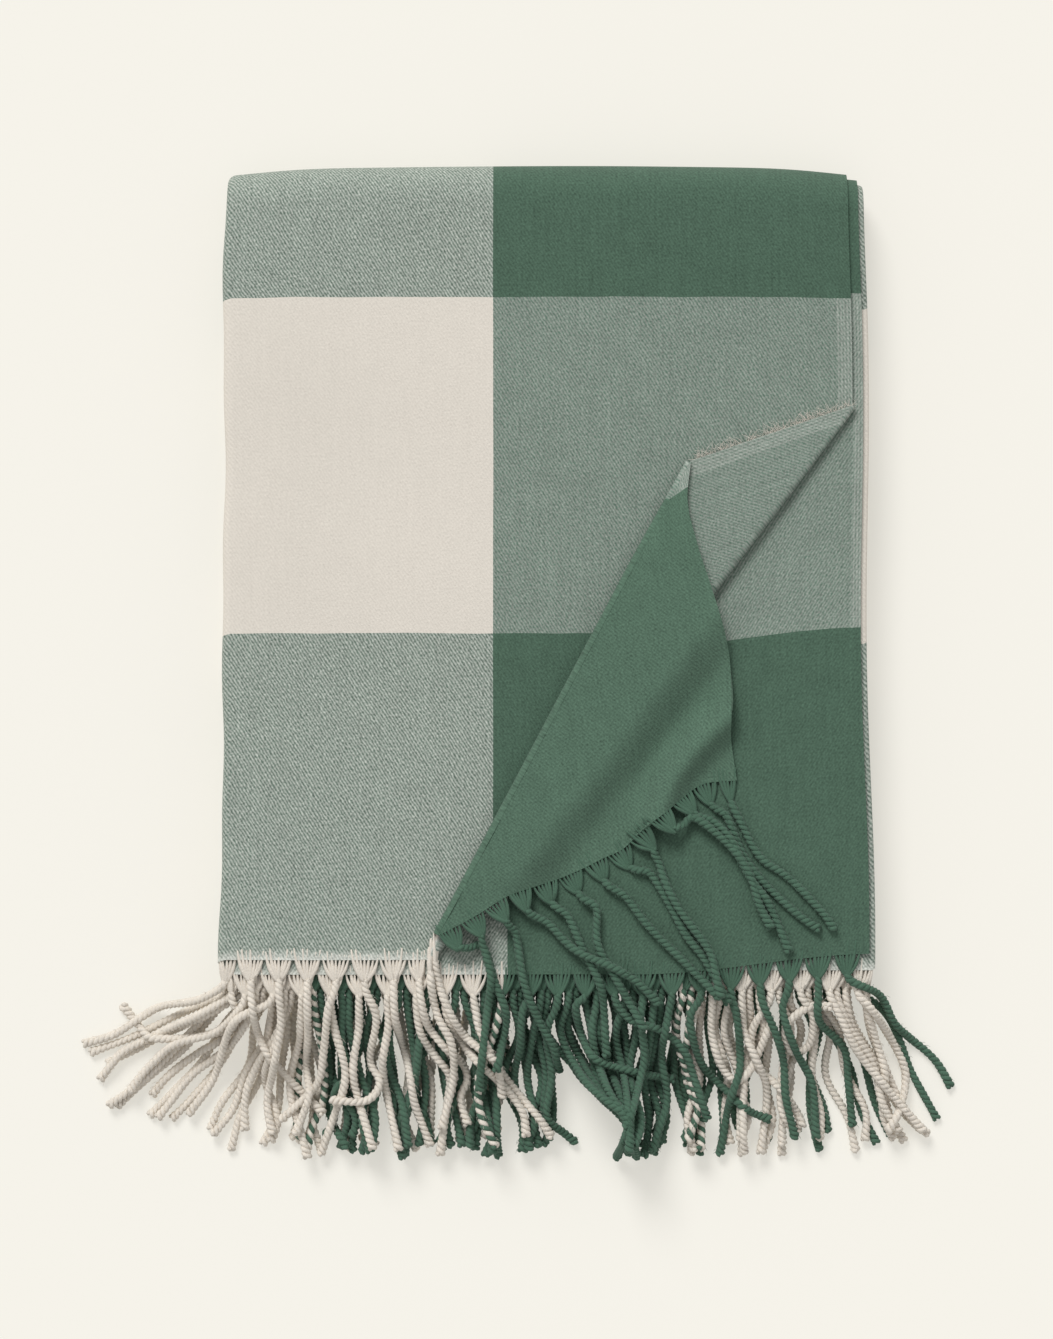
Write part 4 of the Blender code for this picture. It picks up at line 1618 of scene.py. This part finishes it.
@dataclass
class Studio:
    """Pale floor, soft light and a camera straight above.

    Attributes:
        floor_colour: colour of the floor.
        camera_place: where the camera hangs.
        view_width: width of what it sees at the height of the blanket's middle.
        fill: strength of the light from all round, and key the share of one soft lamp.
        lamp_height, lamp_spread: the lamp's height over the horizon and its width, in degrees.
        lamp_aim: which way its light falls in plan, mostly forward and a little to the right.
        blanket_middle: height at which view_width holds.
        sensor: width of the camera's sensor in millimetres.
        floor_side: half the side of the floor.
    """

    floor_colour: str = "#f6f3ea"
    camera_place: tuple[float, float, float] = (0.0041, -0.0025, 2.6)
    view_width: float = 0.532
    fill: float = 0.54
    key: float = 0.46
    lamp_height: float = 43
    lamp_spread: float = 24
    lamp_aim: tuple[float, float] = (0.35, -0.94)
    blanket_middle: float = 0.04
    sensor: float = 36.0
    floor_side: float = 12.0

    def build(self) -> None:
        """Make the floor, the lights and the camera."""
        scene = bpy.context.scene
        scene.view_settings.view_transform = "Standard"
        mesh = bpy.data.meshes.new("floor")
        side = self.floor_side
        corners = [(-side, -side, 0), (side, -side, 0), (side, side, 0), (-side, side, 0)]
        mesh.from_pydata(corners, [], [(0, 1, 2, 3)])
        floor = add_object("floor", mesh)
        mesh.materials.append(self.floor_material())
        world = bpy.data.worlds.new("soft_room")
        world.use_nodes = True
        world.node_tree.nodes["Background"].inputs[0].default_value = (1.0, 1.0, 1.0, 1.0)
        world.node_tree.nodes["Background"].inputs[1].default_value = self.fill
        scene.world = world
        lamp = bpy.data.lights.new("window_light", "SUN")
        height = math.radians(self.lamp_height)
        lamp.energy = self.key * math.pi / math.sin(height)
        lamp.angle = math.radians(self.lamp_spread)
        key = add_object("window_light", lamp)
        level = math.cos(height)
        right, back = self.lamp_aim
        towards = Vector((level * right, level * back, -math.sin(height)))
        key.rotation_euler = towards.to_track_quat("-Z", "Y").to_euler()
        camera = bpy.data.cameras.new("camera")
        camera.sensor_fit = "HORIZONTAL"
        camera.sensor_width = self.sensor
        drop = self.camera_place[2] - self.blanket_middle
        camera.lens = self.sensor * drop / self.view_width
        seat = add_object("camera", camera)
        seat.location = self.camera_place
        scene.camera = seat

    def floor_material(self) -> Material:
        """Make a matt paper floor that glows a little, so that shadows on it stay faint.

        Returns:
            The floor's material.
        """
        pale = linear(self.floor_colour)
        paper = {"Base Color": tuple(c * 0.45 for c in pale[:3]) + (1.0,), "Roughness": 1.0,
                 "Specular IOR Level": 0.0, "Emission Color": pale, "Emission Strength": 0.55}
        return finish_material("matt_paper_floor", lambda tree: paper)


def main() -> None:
    """Build the throw and put each piece but the corner's bend on its body."""
    layout = read_layout()
    corner = TurnedCorner(layout)
    sheet = FoldedSheet(layout, corner)
    fringe = Fringe(sheet, corner)
    face = TwillFinish(Side.FACE).material()
    back = TwillFinish(Side.BACK, crispness=0.8).material()
    # Turned over, the flap's nap points at the light; its green is painted a shade paler here as
    # painted light.
    lifted = TwillFinish(Side.FACE, green="#546e5d", lot="_nap_lifted").material()
    yarns = {
        Yarn.CREAM: YarnFinish(Yarn.CREAM, "#ded6ca").material(),
        Yarn.GREEN: YarnFinish(Yarn.GREEN, "#4d6958").material(),
    }
    Studio().build()

    cloth = sheet.build((face, back))
    nodes = sorted(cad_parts)
    kept = ("corner_flap", "crease_hinge")
    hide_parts(*[n for n in nodes if not n.startswith("fringe") and n not in kept])
    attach(cloth, STACK)
    LOG.info("throw_sheet: %d points", len(cloth.data.vertices))

    # The flap and its bend take the face twill copy whose green is painted paler as painted light.
    flap = corner.build_flap((lifted, back), sheet.thickness)
    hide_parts("corner_flap")
    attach(flap, FLAP)
    LOG.info("turned_corner: %d points", len(flap.data.vertices))

    bend = corner.build_bend((lifted, back), sheet.thickness)
    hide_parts("crease_hinge")
    # From just under the hinge's bend to just over it.
    low, high = layout.level(16.9), layout.level(19.1)
    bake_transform(bend)
    LOG.info("corner_bend: %d points", len(bend.data.vertices))

    tassels = fringe.build(yarns)
    for (group, yarn), piece in tassels.items():
        counts = {y: len(tassels[(group, y)].data.vertices) for y in Yarn if (group, y) in tassels}
        if counts[yarn] == max(counts.values()):
            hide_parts(group)
        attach(piece, FLAP if group == "fringe_flap" else STACK)
        LOG.info("%s: %d points", piece.name, len(piece.data.vertices))

    fray = SelvedgeFray(corner).build(fringe, yarns[Yarn.CREAM])
    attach(fray, STACK)
    LOG.info("selvedge_fray: %d points", len(fray.data.vertices))

    low, high = CAD_BOX


if __name__ == "__main__":
    main()
